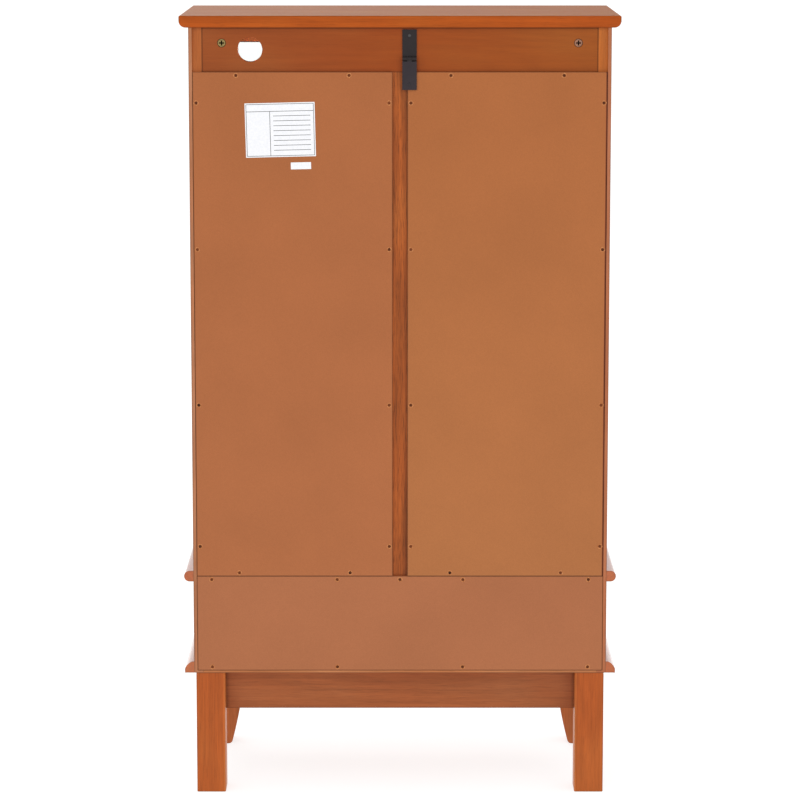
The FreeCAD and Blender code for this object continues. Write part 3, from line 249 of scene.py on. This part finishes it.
def place(tree, scale=(1, 1, 1), move=(0, 0, 0), turn=(0, 0, 0)):
    """Position on the object, scaled along its axes, turned and moved."""
    coordinates = tree.nodes.new("ShaderNodeTexCoord")
    mapping = tree.nodes.new("ShaderNodeMapping")
    feed_all(tree, mapping, {"Vector": coordinates.outputs["Object"], "Location": move, "Rotation": turn,
                             "Scale": scale})
    return mapping.outputs["Vector"]


def split(tree, vector):
    """The three parts of a position."""
    node = tree.nodes.new("ShaderNodeSeparateXYZ")
    feed(tree, node.inputs["Vector"], vector)
    return node.outputs["X"], node.outputs["Y"], node.outputs["Z"]


def noise(tree, vector, scale, detail=4.0, roughness=0.55, distortion=0.0):
    """Noise at a position, around 0.5."""
    node = tree.nodes.new("ShaderNodeTexNoise")
    feed_all(tree, node, {"Vector": vector, "Scale": scale, "Detail": detail, "Roughness": roughness,
                          "Distortion": distortion})
    return node.outputs["Fac"]


def ramp(tree, value, *stops):
    """Colour ramp through (position, colour) stops."""
    node = tree.nodes.new("ShaderNodeValToRGB")
    points = node.color_ramp.elements
    while len(points) < len(stops):
        points.new(0.5)
    for point, (position, colour) in zip(points, stops):
        point.position = position
        point.color = (*colour, 1)
    feed(tree, node.inputs["Fac"], value)
    return node.outputs["Color"]


def spread(tree, value, low, high, start=0.0, end=1.0):
    """Value between start and end brought to a range from low to high."""
    node = tree.nodes.new("ShaderNodeMapRange")
    feed_all(tree, node, {"Value": value, "From Min": start, "From Max": end, "To Min": low, "To Max": high})
    return node.outputs["Result"]


def mixed(tree, kind, share, first, second):
    """Mix of two colours, each a socket or three numbers."""
    node = tree.nodes.new("ShaderNodeMix")
    node.data_type = "RGBA"
    node.blend_type = kind
    feed(tree, node.inputs[0], share)
    # The node's colours are its inputs 6 and 7 and its output 2
    for index, colour in ((6, first), (7, second)):
        feed(tree, node.inputs[index], colour if isinstance(colour, bpy.types.NodeSocket) else (*colour, 1))
    return node.outputs[2]


def shaded(tree, colour, share):
    """Colour times a number that a socket gives."""
    level = tree.nodes.new("ShaderNodeCombineColor")
    for channel in level.inputs:
        feed(tree, channel, share)
    return mixed(tree, "MULTIPLY", 1.0, colour, level.outputs[0])


def tinted(tree, colour, shades):
    """Colour with shades, each (axis, tint, from, to): full at one place, faded out at another."""
    parts = split(tree, place(tree))
    for axis, tint, start, end in shades:
        share = spread(tree, parts[axis], 1.0, 0.0, start=start, end=end)
        colour = mixed(tree, "MULTIPLY", share, colour, tint)
    return colour


def bump(tree, shader, height, strength, distance):
    """Relief of a surface, from a number that a socket gives."""
    node = tree.nodes.new("ShaderNodeBump")
    feed_all(tree, node, {"Height": height, "Strength": strength, "Distance": distance})
    feed(tree, shader.inputs["Normal"], node.outputs["Normal"])


def edge_distance(tree, low, high):
    """How far a point on a box is from the nearest of the box's edges."""
    gaps = []
    for part, near, far in zip(split(tree, place(tree)), low, high):
        off = calculate(tree, "ABSOLUTE", calculate(tree, "SUBTRACT", part, (near + far) / 2))
        gaps.append(calculate(tree, "SUBTRACT", (far - near) / 2, off))
    lesser = calculate(tree, "MINIMUM", gaps[0], gaps[1])
    greater = calculate(tree, "MAXIMUM", gaps[0], gaps[1])
    return calculate(tree, "MAXIMUM", lesser, calculate(tree, "MINIMUM", greater, gaps[2]))


def dark_edges(tree, colour, name, share, width):
    """Colour that is darker along the edges of a node's box: painted shade where parts meet, partly the
    edges' own darker colour.
    """
    distance = edge_distance(tree, *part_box(name))
    return shaded(tree, colour, spread(tree, distance, share, 1.0, start=EDGE_LINE, end=width))


def grey(share):
    """Tint that makes every colour darker or lighter alike."""
    return share, share, share


def toned(colour, tint):
    """Colour with a tint."""
    return tuple(part * share for part, share in zip(colour, tint))


def along_grain(axis, along, across):
    """Scale of a texture that is stretched along one axis."""
    return tuple(along if axis == letter else across for letter in "xyz")


# Materials

def wood(name, axis, colour, seed, contrast=0.13, roughness=0.42, gloss=0.2, coat=0.0, shades=()):
    """Stained and lacquered wood of one board, with its grain along an axis."""
    material, tree, shader = new_material(name + "_wood")
    move = (3.7 * seed, 1.1 * seed, 2.3 * seed)
    figure = noise(tree, place(tree, along_grain(axis, 0.5, 5), move),
                   scale=2.0, detail=2.0, roughness=0.45, distortion=0.3)
    stain = noise(tree, place(tree, along_grain(axis, 1, 2), move), scale=7.0, detail=2.0, roughness=0.5)
    streaks = noise(tree, place(tree, along_grain(axis, 1.2, 55), move), scale=4.0, detail=5.0, roughness=0.6)
    pores = noise(tree, place(tree, along_grain(axis, 14, 420), move), scale=3.0, detail=3.0, roughness=0.6)
    rings = calculate(tree, "SINE", calculate(tree, "MULTIPLY", figure, RING_WAVE))
    tone = ramp(tree, stain, (0.34, toned(colour, REDDER)), (0.5, colour), (0.66, toned(colour, YELLOWER)))
    tone = shaded(tree, tone, spread(tree, streaks, 1 - contrast, 1 + contrast, start=0.28, end=0.72))
    tone = shaded(tree, tone, spread(tree, rings, 1 - 0.4 * contrast, 1 + 0.3 * contrast, start=-1.0))
    tone = shaded(tree, tone, spread(tree, pores, 1 - 1.5 * contrast, 1.0, start=0.34, end=0.5))
    tone = dark_edges(tree, tone, name, WOOD_EDGE_SHARE, WOOD_EDGE_WIDTH)
    feed_all(tree, shader, {
        "Base Color": tinted(tree, tone, shades),
        "Roughness": spread(tree, streaks, roughness + 0.08, roughness - 0.08),
        "Specular IOR Level": gloss,
        "Coat Weight": coat,
        "Coat Roughness": COAT_ROUGHNESS,
    })
    bump(tree, shader, pores, strength=0.12, distance=0.0004)
    return material


def hardboard(name, colour, seed, edge_share, shades=()):
    """Matte brown fibreboard, faintly mottled and speckled, its cut edges darker by a share: partly their own
    colour, partly painted shade in the gaps round the panels.
    """
    material, tree, shader = new_material(name + "_hardboard")
    move = (3.1 * seed, 0, 1.7 * seed)
    mottle = noise(tree, place(tree, move=move), scale=6.0)
    specks = noise(tree, place(tree, move=move), scale=620.0, detail=3.0, roughness=0.7)
    darker = toned(colour, grey(0.93))
    lighter = toned(colour, grey(1.07))
    tone = ramp(tree, specks, (0.3, darker), (0.5, colour), (0.7, lighter))
    tone = shaded(tree, tone, spread(tree, mottle, 0.95, 1.05, start=0.3, end=0.7))
    tone = dark_edges(tree, tone, name, edge_share, BOARD_EDGE_WIDTH)
    feed_all(tree, shader, {
        "Base Color": tinted(tree, tone, shades),
        "Roughness": spread(tree, mottle, 0.68, 0.58),
        "Specular IOR Level": 0.25,
    })
    bump(tree, shader, specks, strength=0.06, distance=0.0002)
    return material


def metal(name, colour, roughness, metallic=1.0, gloss=0.5, variety=0.08, shades=()):
    """Metal or coated metal that varies a little from place to place."""
    material, tree, shader = new_material(name)
    fine = noise(tree, place(tree), scale=900.0, roughness=0.6)
    patches = noise(tree, place(tree), scale=45.0, detail=2.0)
    tone = ramp(tree, fine, (0.35, toned(colour, grey(0.8))), (0.65, toned(colour, grey(1.15))))
    tone = shaded(tree, tone, spread(tree, patches, 1 - variety, 1 + variety, start=0.35, end=0.65))
    feed_all(tree, shader, {
        "Base Color": tinted(tree, tone, shades),
        "Roughness": spread(tree, fine, roughness - 0.06, roughness + 0.08),
        "Metallic": metallic,
        "Specular IOR Level": gloss,
    })
    bump(tree, shader, fine, strength=0.08, distance=0.0001)
    return material


def glass(name):
    """Clear pane with a faint green tint that lets lamps through."""
    material, tree, shader = new_material(name)
    smear = noise(tree, place(tree), scale=7.0, detail=3.0)
    feed_all(tree, shader, {
        "Base Color": GLASS_COLOUR,
        "Roughness": spread(tree, smear, 0.0, 0.008),
        "Transmission Weight": 1.0,
        "IOR": 1.5,
        "Specular IOR Level": 0.3,
    })
    clear = tree.nodes.new("ShaderNodeBsdfTransparent")
    clear.inputs["Color"].default_value = GLASS_COLOUR
    either = tree.nodes.new("ShaderNodeMixShader")
    rays = tree.nodes.new("ShaderNodeLightPath")
    feed(tree, either.inputs[0], rays.outputs["Is Shadow Ray"])
    feed(tree, either.inputs[1], shader.outputs["BSDF"])
    feed(tree, either.inputs[2], clear.outputs["BSDF"])
    feed(tree, tree.nodes["Material Output"].inputs["Surface"], either.outputs[0])
    return material


def plastic(name, colour, roughness):
    """Plastic, foam or felt with a fine texture."""
    material, tree, shader = new_material(name)
    fine = noise(tree, place(tree), scale=1500.0, detail=2.0)
    cloud = noise(tree, place(tree), scale=60.0, detail=2.0)
    feed_all(tree, shader, {
        "Base Color": ramp(tree, cloud, (0.3, toned(colour, grey(0.92))), (0.7, colour)),
        "Roughness": spread(tree, fine, roughness - 0.05, roughness + 0.05),
    })
    bump(tree, shader, fine, strength=0.1, distance=0.0001)
    return material


def frosted_lens():
    """Frosted lens with a warm glow."""
    material, tree, shader = new_material("frosted_lens")
    frost = noise(tree, place(tree), scale=900.0, detail=2.0)
    feed_all(tree, shader, {
        "Base Color": ramp(tree, frost, *zip((0.3, 0.7), LENS_COLOURS)),
        "Roughness": spread(tree, frost, 0.35, 0.5),
        "Emission Color": GLOW_COLOUR,
        "Emission Strength": GLOW_STRENGTH,
    })
    return material


def between(tree, value, low, high):
    """1 where a value lies between two others, 0 elsewhere."""
    above = calculate(tree, "GREATER_THAN", value, low)
    return calculate(tree, "MULTIPLY", above, calculate(tree, "LESS_THAN", value, high))


def printed_line(tree, value, at, other, low, high):
    """1 on a line at one value of a coordinate, drawn from low to high of the other."""
    on_line = between(tree, value, at - HALF_LINE, at + HALF_LINE)
    return calculate(tree, "MULTIPLY", on_line, between(tree, other, low, high))


def sticker_lines(tree):
    """Border, cell and ruled lines of the large sticker."""
    turn = Euler((0, -STICKER_TURN, 0))
    move = -(turn.to_matrix() @ STICKER_CENTRE)
    across, _, up = split(tree, place(tree, move=move, turn=turn))
    wide = STICKER_WIDTH / 2 - BORDER_INSET
    high = STICKER_HEIGHT / 2 - BORDER_INSET
    heading = high - HEADING_DROP
    cell = wide - CELL_WIDTH
    lines = [printed_line(tree, across, side, up, -high, high) for side in (-wide, wide)]
    lines += [printed_line(tree, up, level, across, -wide, wide) for level in (-high, heading, high)]
    lines.append(printed_line(tree, across, cell, up, -high, heading))
    phase = calculate(tree, "MODULO", calculate(tree, "SUBTRACT", heading, up), RULE_SPACING)
    rules = between(tree, phase, RULE_SPACING - 2 * HALF_LINE, RULE_SPACING)
    in_width = between(tree, across, -(1 - RULE_MARGIN) * wide, cell - RULE_MARGIN * wide)
    in_height = between(tree, up, -(1 - RULE_MARGIN) * high, heading)
    lines.append(calculate(tree, "MULTIPLY", calculate(tree, "MULTIPLY", rules, in_width), in_height))
    ink = lines[0]
    for line in lines[1:]:
        ink = calculate(tree, "MAXIMUM", ink, line)
    return ink


def sticker_paper():
    """White label stock with a thin printed border and empty ruled lines."""
    material, tree, shader = new_material("sticker_paper")
    fibre = noise(tree, place(tree), scale=450.0)
    paper = ramp(tree, fibre, *zip((0.3, 0.7), PAPER_COLOURS))
    feed_all(tree, shader, {
        "Base Color": mixed(tree, "MIX", sticker_lines(tree), paper, INK_COLOUR),
        "Roughness": spread(tree, fibre, 0.5, 0.6),
    })
    bump(tree, shader, fibre, strength=0.05, distance=0.0001)
    return material


def torn_fibre():
    """Pale raised fibres of the hardboard round a screw."""
    material, tree, shader = new_material("torn_fibre")
    clumps = noise(tree, place(tree), scale=420.0, detail=3.0, roughness=0.7)
    feed_all(tree, shader, {
        "Base Color": ramp(tree, clumps, (0.38, RIGHT_BOARD_COLOUR), (0.62, FIBRE_COLOUR)),
        "Roughness": spread(tree, clumps, 0.9, 0.7),
        "Specular IOR Level": 0.1,
    })
    bump(tree, shader, clumps, strength=0.3, distance=0.0002)
    return material


# Shades of a board

def shadow(axis, face, way, share, depth):
    """Shade that darkens or lightens a face and fades out from it, up (1) or down (-1) the axis."""
    return axis, grey(share), face, face + way * depth


def end_shadows(inner, share, depth):
    """Shadows at two ends that lie equally far from the middle."""
    return [shadow(X, side * inner, -side, share, depth) for side in (-1, 1)]


def board_shades(name):
    """Tints of the faces and edges of a case board that differ from the rest of it, painted light and shade
    among them.
    """
    side = -1 if name.startswith("left") else 1
    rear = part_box(name)[1].y
    # On the doors' inner faces the rear-face tint is painted light and sheen
    tints = [tint for part, tint in REAR_FACE_TINTS.items() if part in name]
    shades = [(Y, tint, rear, rear - REAR_FACE_FADE) for tint in tints]
    # Painted shade on the beads' rounded edges, in the corner beside the pane
    if name.endswith("_glass_beads"):
        shades.append((Y, BEAD_EDGE_SHADE, *(rear - depth for depth in BEAD_EDGE_DEPTHS)))
    # Painted highlight along the inner edges of the rear legs
    if name.endswith("_rear_leg"):
        shades.append((X, LEG_EDGE_HIGHLIGHT, *(side * (LEG_INNER + depth) for depth in LEG_EDGE_DEPTHS)))
    if name.endswith("_meeting_stile"):
        shades.append(shadow(X, side * DOOR_MEETING, side, *MEETING_EDGE_SHADOW))
    return shades


# Finish of every solid

def finish_node(material, *names):
    """Gives solids one material."""
    for name in names:
        slots = nodes[name].data.materials
        slots.clear()
        slots.append(material)


def finish_board(name, axis, colour, seed, **looks):
    """Gives a board wood of its own, with the grain moved by a seed."""
    finish_node(wood(name, axis, colour, seed, **looks), name)


def finish_panel(name, colour, seed, edge_share, shades=()):
    """Gives a back panel hardboard of its own, with the mottling moved by a seed."""
    finish_node(hardboard(name, colour, seed, edge_share, shades), name)


def finish_case_boards():
    """Stained boards of the case, the base, the doors and the drawer's front."""
    boards = [(axis, name) for axis, names in CASE_BOARDS.items() for name in names]
    for seed, (axis, name) in enumerate(boards, start=1):
        finish_board(name, axis, CASE_COLOUR, seed, shades=board_shades(name))


def finish_mouldings():
    """Glossier strips round the waist and the base."""
    for seed, level in enumerate(("waist", "base"), start=50):
        for axis, part in (("x", "_moulding_front"), ("y", "_moulding_sides")):
            finish_board(level + part, axis, CASE_COLOUR, seed, roughness=0.3, gloss=0.15, coat=1.0)


def finish_side_panels():
    """Side panels, paler towards their rear edges."""
    for seed, (name, tint) in enumerate(SIDE_STRIP_TINTS.items(), start=60):
        shades = [(Y, tint, RAIL_FACE, RAIL_FACE - SIDE_STRIP_FADE),
                  (Y, SIDE_LIP_TINTS[name], REAR_FACE, REAR_FACE - SIDE_LIP_FADE)]
        finish_board(name, "z", CASE_COLOUR, seed, shades=shades)


def finish_top():
    """Top board, duller than the case, with a browner upper face."""
    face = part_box("top_board")[1].z
    shades = [(Z, TOP_FACE_TINT, face, face - TOP_FACE_FADE)]
    finish_board("top_board", "x", TOP_COLOUR, seed=30, roughness=0.55, gloss=0.115, shades=shades)


def finish_back_rail():
    """Back rail, paler towards its ends and in shadow along its edges."""
    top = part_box("back_rail")[1].z
    panel_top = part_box("right_back_panel")[1].z
    shades = [(X, RIGHT_RAIL_TINT, SIDE_INNER, 0),
              (X, LEFT_RAIL_TINT, -SIDE_INNER, 0),
              *end_shadows(SIDE_INNER, *RAIL_END_SHADOW),
              shadow(Z, top, -1, *RAIL_TOP_SHADOW),
              shadow(Z, panel_top, 1, *RAIL_FOOT_SHADOW)]
    finish_board("back_rail", "x", RAIL_COLOUR, seed=31, contrast=0.06, gloss=0.15, shades=shades)


def finish_back_stile():
    """Back stile, streaky, in shadow beside the back panels."""
    shades = [shadow(X, -PANEL_INNER, 1, *LEFT_STILE_SHADOW),
              shadow(X, PANEL_INNER, -1, *RIGHT_STILE_SHADOW)]
    finish_board("back_stile", "z", STILE_COLOUR, seed=32, contrast=0.34, shades=shades)


def finish_rear_apron():
    """Rear apron, with painted shadow beside the legs and painted light along its top."""
    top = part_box("rear_apron")[1].z
    shades = [*end_shadows(LEG_INNER, *APRON_END_SHADOW), shadow(Z, top, -1, *APRON_TOP_LIGHT)]
    finish_board("rear_apron", "x", APRON_COLOUR, seed=33, contrast=0.14, shades=shades)


def finish_plain_boards():
    """Unstained wood of the drawer's box and the braces."""
    for seed, (name, axis) in enumerate(PLAIN_BOARDS.items(), start=40):
        finish_board(name, axis, PLAIN_COLOUR, seed, contrast=0.14, roughness=0.6)


def finish_back_panels():
    """Hardboard of the three back panels."""
    low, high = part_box("left_back_panel")
    # Painted light: the upper panels paler towards their lower ends, as the floor's light falls there
    right_shades = [(Z, RIGHT_BOARD_LIGHT, low.z, high.z)]
    left_shades = [(Z, LEFT_BOARD_LIGHT, low.z, high.z),
                   # Painted shadow in the gap along the left panel's outer edge
                   (X, LEFT_SEAM_SHADE, *(low.x + depth for depth in LEFT_SEAM_DEPTHS))]
    finish_panel("right_back_panel", RIGHT_BOARD_COLOUR, 1, UPPER_EDGE_SHARE, right_shades)
    finish_panel("left_back_panel", LEFT_BOARD_COLOUR, 2, UPPER_EDGE_SHARE, left_shades)
    finish_panel("lower_back_panel", LOWER_BOARD_COLOUR, 3, LOWER_EDGE_SHARE)


def finish_hardware():
    """Screws, hinges, runners and the other small metal parts."""
    finish_node(metal("brown_screw", SCREW_COLOUR, roughness=0.5, metallic=0.0, gloss=0.12, variety=0.6),
                "back_panel_screws")
    finish_node(metal("zinc", ZINC_COLOUR, roughness=0.38), "rail_cam_dowels", "drawer_runners",
                "drawer_slides", "left_door_strike", "right_door_strike", "shelf_pins")
    finish_node(metal("aged_brass", BRASS_COLOUR, roughness=0.35), "hinge_cabinet_leaves", "hinge_pins",
                "left_door_hinge_leaves", "right_door_hinge_leaves")
    finish_node(metal("bracket_screw_grey", BRACKET_SCREW_COLOUR, roughness=0.45, metallic=0.5), "tip_bracket_screw")


def finish_cam_locks():
    """Cam locks with dark slots, the left one redder."""
    shades = [shadow(Y, RAIL_FACE - CAM_SLOT_DEPTH, 1, *CAM_SLOT_SHADOW),
              (X, LEFT_CAM_TINT, -CAM_FADE, CAM_FADE)]
    finish_node(metal("cam_zinc", CAM_COLOUR, roughness=0.45, shades=shades), "rail_cam_locks")


def finish_bracket():
    """Black coat, darker on the plate above the hinge than on the flap."""
    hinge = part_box("tip_bracket_plate")[0].z
    shades = [(Z, BRACKET_PLATE_TINT, hinge + HINGE_FADE, hinge - HINGE_FADE)]
    coat = metal("black_coat", BRACKET_COLOUR, roughness=0.5, metallic=0.0, gloss=0.25, shades=shades)
    finish_node(coat, "tip_bracket_plate", "tip_bracket_flap")


def finish_glass():
    """Panes of the doors and the shelves."""
    finish_node(glass("pane_glass"), "glass_shelves", "left_door_glass", "right_door_glass")


def finish_light():
    """Housing, LED board and glowing lens of the light."""
    finish_node(plastic("light_shell", HOUSING_COLOUR, roughness=0.4), "light_housing")
    finish_node(plastic("led_board", LED_BOARD_COLOUR, roughness=0.5), "light_led_board")
    finish_node(frosted_lens(), "light_lens")


def finish_catch():
    """Brown plastic of the door catch."""
    finish_node(plastic("catch_brown", CATCH_COLOUR, roughness=0.45), "door_catch")


def finish_stickers():
    """Paper of the two stickers."""
    finish_node(sticker_paper(), "blank_stickers")


# Pieces that the solids lack

def new_piece(name, form, material, body):
    """Object from a finished bmesh, riding on a body."""
    mesh = bpy.data.meshes.new(name)
    form.to_mesh(mesh)
    form.free()
    mesh.materials.append(material)
    piece = bpy.data.objects.new(name, mesh)
    bpy.context.scene.collection.objects.link(piece)
    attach(piece, body)
    return piece


def screw_centres():
    """(x, z) of every back panel screw, from the points of the heads."""
    heads = []
    for vertex in nodes["back_panel_screws"].data.vertices:
        point = vertex.co
        if point.y < REAR_FACE:
            continue
        near = [head for head in heads if (head[0] - point).length < SCREW_REACH]
        if near:
            near[0].append(point)
        else:
            heads.append([point])
    centres = []
    for head in heads:
        reach = [[point[axis] for point in head] for axis in (X, Z)]
        centres.append(tuple((min(part) + max(part)) / 2 for part in reach))
    return centres


def add_pucker(form, x, z, chance):
    """Ring of raised, uneven fibres on the panel round a screw."""
    waves = [(count, chance.uniform(0, 2 * math.pi)) for count in PUCKER_WAVES]
    rings = []
    for step in range(PUCKER_STEPS):
        angle = 2 * math.pi * step / PUCKER_STEPS
        swell = PUCKER_SWELL + PUCKER_SWING * sum(math.sin(count * angle + phase) for count, phase in waves)
        ring = []
        for radius, rise, sway in PUCKER_SECTION:
            reach = radius * (1 + sway * swell)
            height = PUCKER_HEIGHT * rise * (swell if rise > 0 else 1)
            point = (x + reach * math.cos(angle), REAR_FACE + height, z + reach * math.sin(angle))
            ring.append(form.verts.new(point))
        rings.append(ring)
    for here, there in zip(rings, rings[1:] + rings[:1]):
        for low in range(len(PUCKER_SECTION)):
            high = (low + 1) % len(PUCKER_SECTION)
            form.faces.new((here[low], here[high], there[high], there[low]))


def panel_puckers():
    """Raised fibres round all the back panel screws."""
    chance = random.Random(PUCKER_SEED)
    form = bmesh.new()
    for x, z in screw_centres():
        add_pucker(form, x, z, chance)
    bmesh.ops.recalc_face_normals(form, faces=form.faces)
    piece = new_piece("panel_puckers", form, torn_fibre(), "cabinet")
    for face in piece.data.polygons:
        face.use_smooth = True


def add_plate(form, low, high, bevel):
    """Block between two corners with bevelled edges."""
    made = bmesh.ops.create_cube(form, size=1.0)["verts"]
    for vertex in made:
        for axis in (X, Y, Z):
            share = vertex.co[axis] + 0.5
            vertex.co[axis] = low[axis] + share * (high[axis] - low[axis])
    edges = list(dict.fromkeys(edge for vertex in made for edge in vertex.link_edges))
    bmesh.ops.bevel(form, geom=edges, offset=bevel, segments=2, profile=0.5, affect="EDGES")


def flap_pad():
    """Thin black pad on the inner side of the bracket's flap."""
    low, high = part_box("tip_bracket_flap")
    near = REAR_FACE + PAD_GAP
    form = bmesh.new()
    add_plate(form, (low.x + PAD_MARGIN, near, low.z + PAD_MARGIN),
              (high.x - PAD_MARGIN, near + PAD_THICKNESS, low.z + PAD_TOP), PAD_THICKNESS / 4)
    foam = plastic("black_foam", FOAM_COLOUR, roughness=0.8)
    new_piece("tip_flap_pad", form, foam, "tip_flap")


def hinge_backing():
    """Thin dark strip on the rail behind the bracket's hinge, its colour painted lighter than black against
    the shade in the hinge's gaps.
    """
    low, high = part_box("tip_bracket_plate")
    middle = (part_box("tip_bracket_flap")[1].z + low.z) / 2
    form = bmesh.new()
    add_plate(form, (low.x, RAIL_FACE, middle - BACKING_HEIGHT / 2),
              (high.x, RAIL_FACE + BACKING_THICKNESS, middle + BACKING_HEIGHT / 2), BACKING_THICKNESS / 4)
    felt = plastic("black_felt", FELT_COLOUR, roughness=0.8)
    new_piece("tip_hinge_backing", form, felt, "cabinet")


def catch_poles():
    """Steel pole strips of the double catch, in front of its two magnets."""
    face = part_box("door_catch")[0].y
    strike_low, strike_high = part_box("right_door_strike")
    form = bmesh.new()
    for side in (-1, 1):
        left, right = sorted((side * (strike_low.x + POLE_INSET), side * (strike_high.x - POLE_INSET)))
        for share in POLE_PLACES:
            z = strike_low.z + share * (strike_high.z - strike_low.z)
            add_plate(form, (left, face - POLE_STANDS_OUT, z - POLE_HEIGHT / 2),
                      (right, face + POLE_STANDS_OUT, z + POLE_HEIGHT / 2), POLE_STANDS_OUT / 2)
    steel = metal("pole_steel", STEEL_COLOUR, roughness=0.35)
    new_piece("catch_poles", form, steel, "cabinet")


# Stage

def set_floor():
    """Pale floor that isn't part of the object."""
    mesh = bpy.data.meshes.new("floor")
    corners = [(-1, -1), (1, -1), (1, 1), (-1, 1)]
    mesh.from_pydata([(FLOOR_REACH * x, FLOOR_REACH * y, 0) for x, y in corners], [], [(0, 1, 2, 3)])
    floor = bpy.data.objects.new("floor", mesh)
    bpy.context.scene.collection.objects.link(floor)
    material, tree, shader = new_material("floor")
    feed_all(tree, shader, {
        "Base Color": (*FLOOR_COLOUR, 1),
        "Roughness": 0.9,
        "Specular IOR Level": 0.1,
        "Emission Color": (1, 1, 1, 1),
        "Emission Strength": FLOOR_GLOW,
    })
    mesh.materials.append(material)


def set_surroundings():
    """White light from all round, and colours shown as they are lit."""
    world = bpy.data.worlds.new("studio")
    world.use_nodes = True
    feed_all(world.node_tree, world.node_tree.nodes["Background"], {"Color": (1, 1, 1, 1), "Strength": 1.0})
    bpy.context.scene.world = world
    bpy.context.scene.view_settings.view_transform = "Standard"


def set_lights():
    """Soft round lights that look at the middle of the cabinet."""
    for name, (spot, power) in LIGHTS.items():
        lamp = bpy.data.lights.new(name, "AREA")
        lamp.shape = "DISK"
        lamp.size = LIGHT_SIZE
        lamp.energy = power
        holder = bpy.data.objects.new(name, lamp)
        holder.location = spot
        holder.rotation_euler = (LIGHT_TARGET - spot).to_track_quat("-Z", "Y").to_euler()
        bpy.context.scene.collection.objects.link(holder)


def set_cabinet_lamp():
    """Warm light from just below the lens, all round the display bay."""
    low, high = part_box("light_lens")
    lamp = bpy.data.lights.new("cabinet_lamp", "POINT")
    lamp.energy = LAMP_POWER
    lamp.color = LAMP_COLOUR
    lamp.shadow_soft_size = LAMP_RADIUS
    holder = bpy.data.objects.new("cabinet_lamp", lamp)
    holder.location = ((low.x + high.x) / 2, (low.y + high.y) / 2, low.z - LAMP_DROP)
    holder.visible_glossy = False
    bpy.context.scene.collection.objects.link(holder)


def set_camera():
    """Camera behind the cabinet, above its top, looking down."""
    lens = bpy.data.cameras.new("photo_view")
    lens.sensor_width = SENSOR_WIDTH
    lens.lens = FOCAL_PIXELS / IMAGE_SIDE * SENSOR_WIDTH
    lens.shift_y = SHIFT_PIXELS / IMAGE_SIDE
    lens.clip_end = SIGHT_REACH
    camera = bpy.data.objects.new("photo_view", lens)
    camera.location = (0, REAR_FACE + EYE_BEHIND, EYE_HEIGHT)
    camera.rotation_euler = (math.pi / 2 - EYE_PITCH, 0, math.pi)
    bpy.context.scene.collection.objects.link(camera)
    bpy.context.scene.camera = camera


set_camera()
set_floor()
set_surroundings()
set_lights()
set_cabinet_lamp()

finish_case_boards()
finish_mouldings()
finish_side_panels()
finish_top()
finish_back_rail()
finish_back_stile()
finish_rear_apron()
finish_plain_boards()
finish_back_panels()
finish_hardware()
finish_cam_locks()
finish_bracket()
finish_glass()
finish_light()
finish_catch()
finish_stickers()

panel_puckers()
flap_pad()
hinge_backing()
catch_poles()
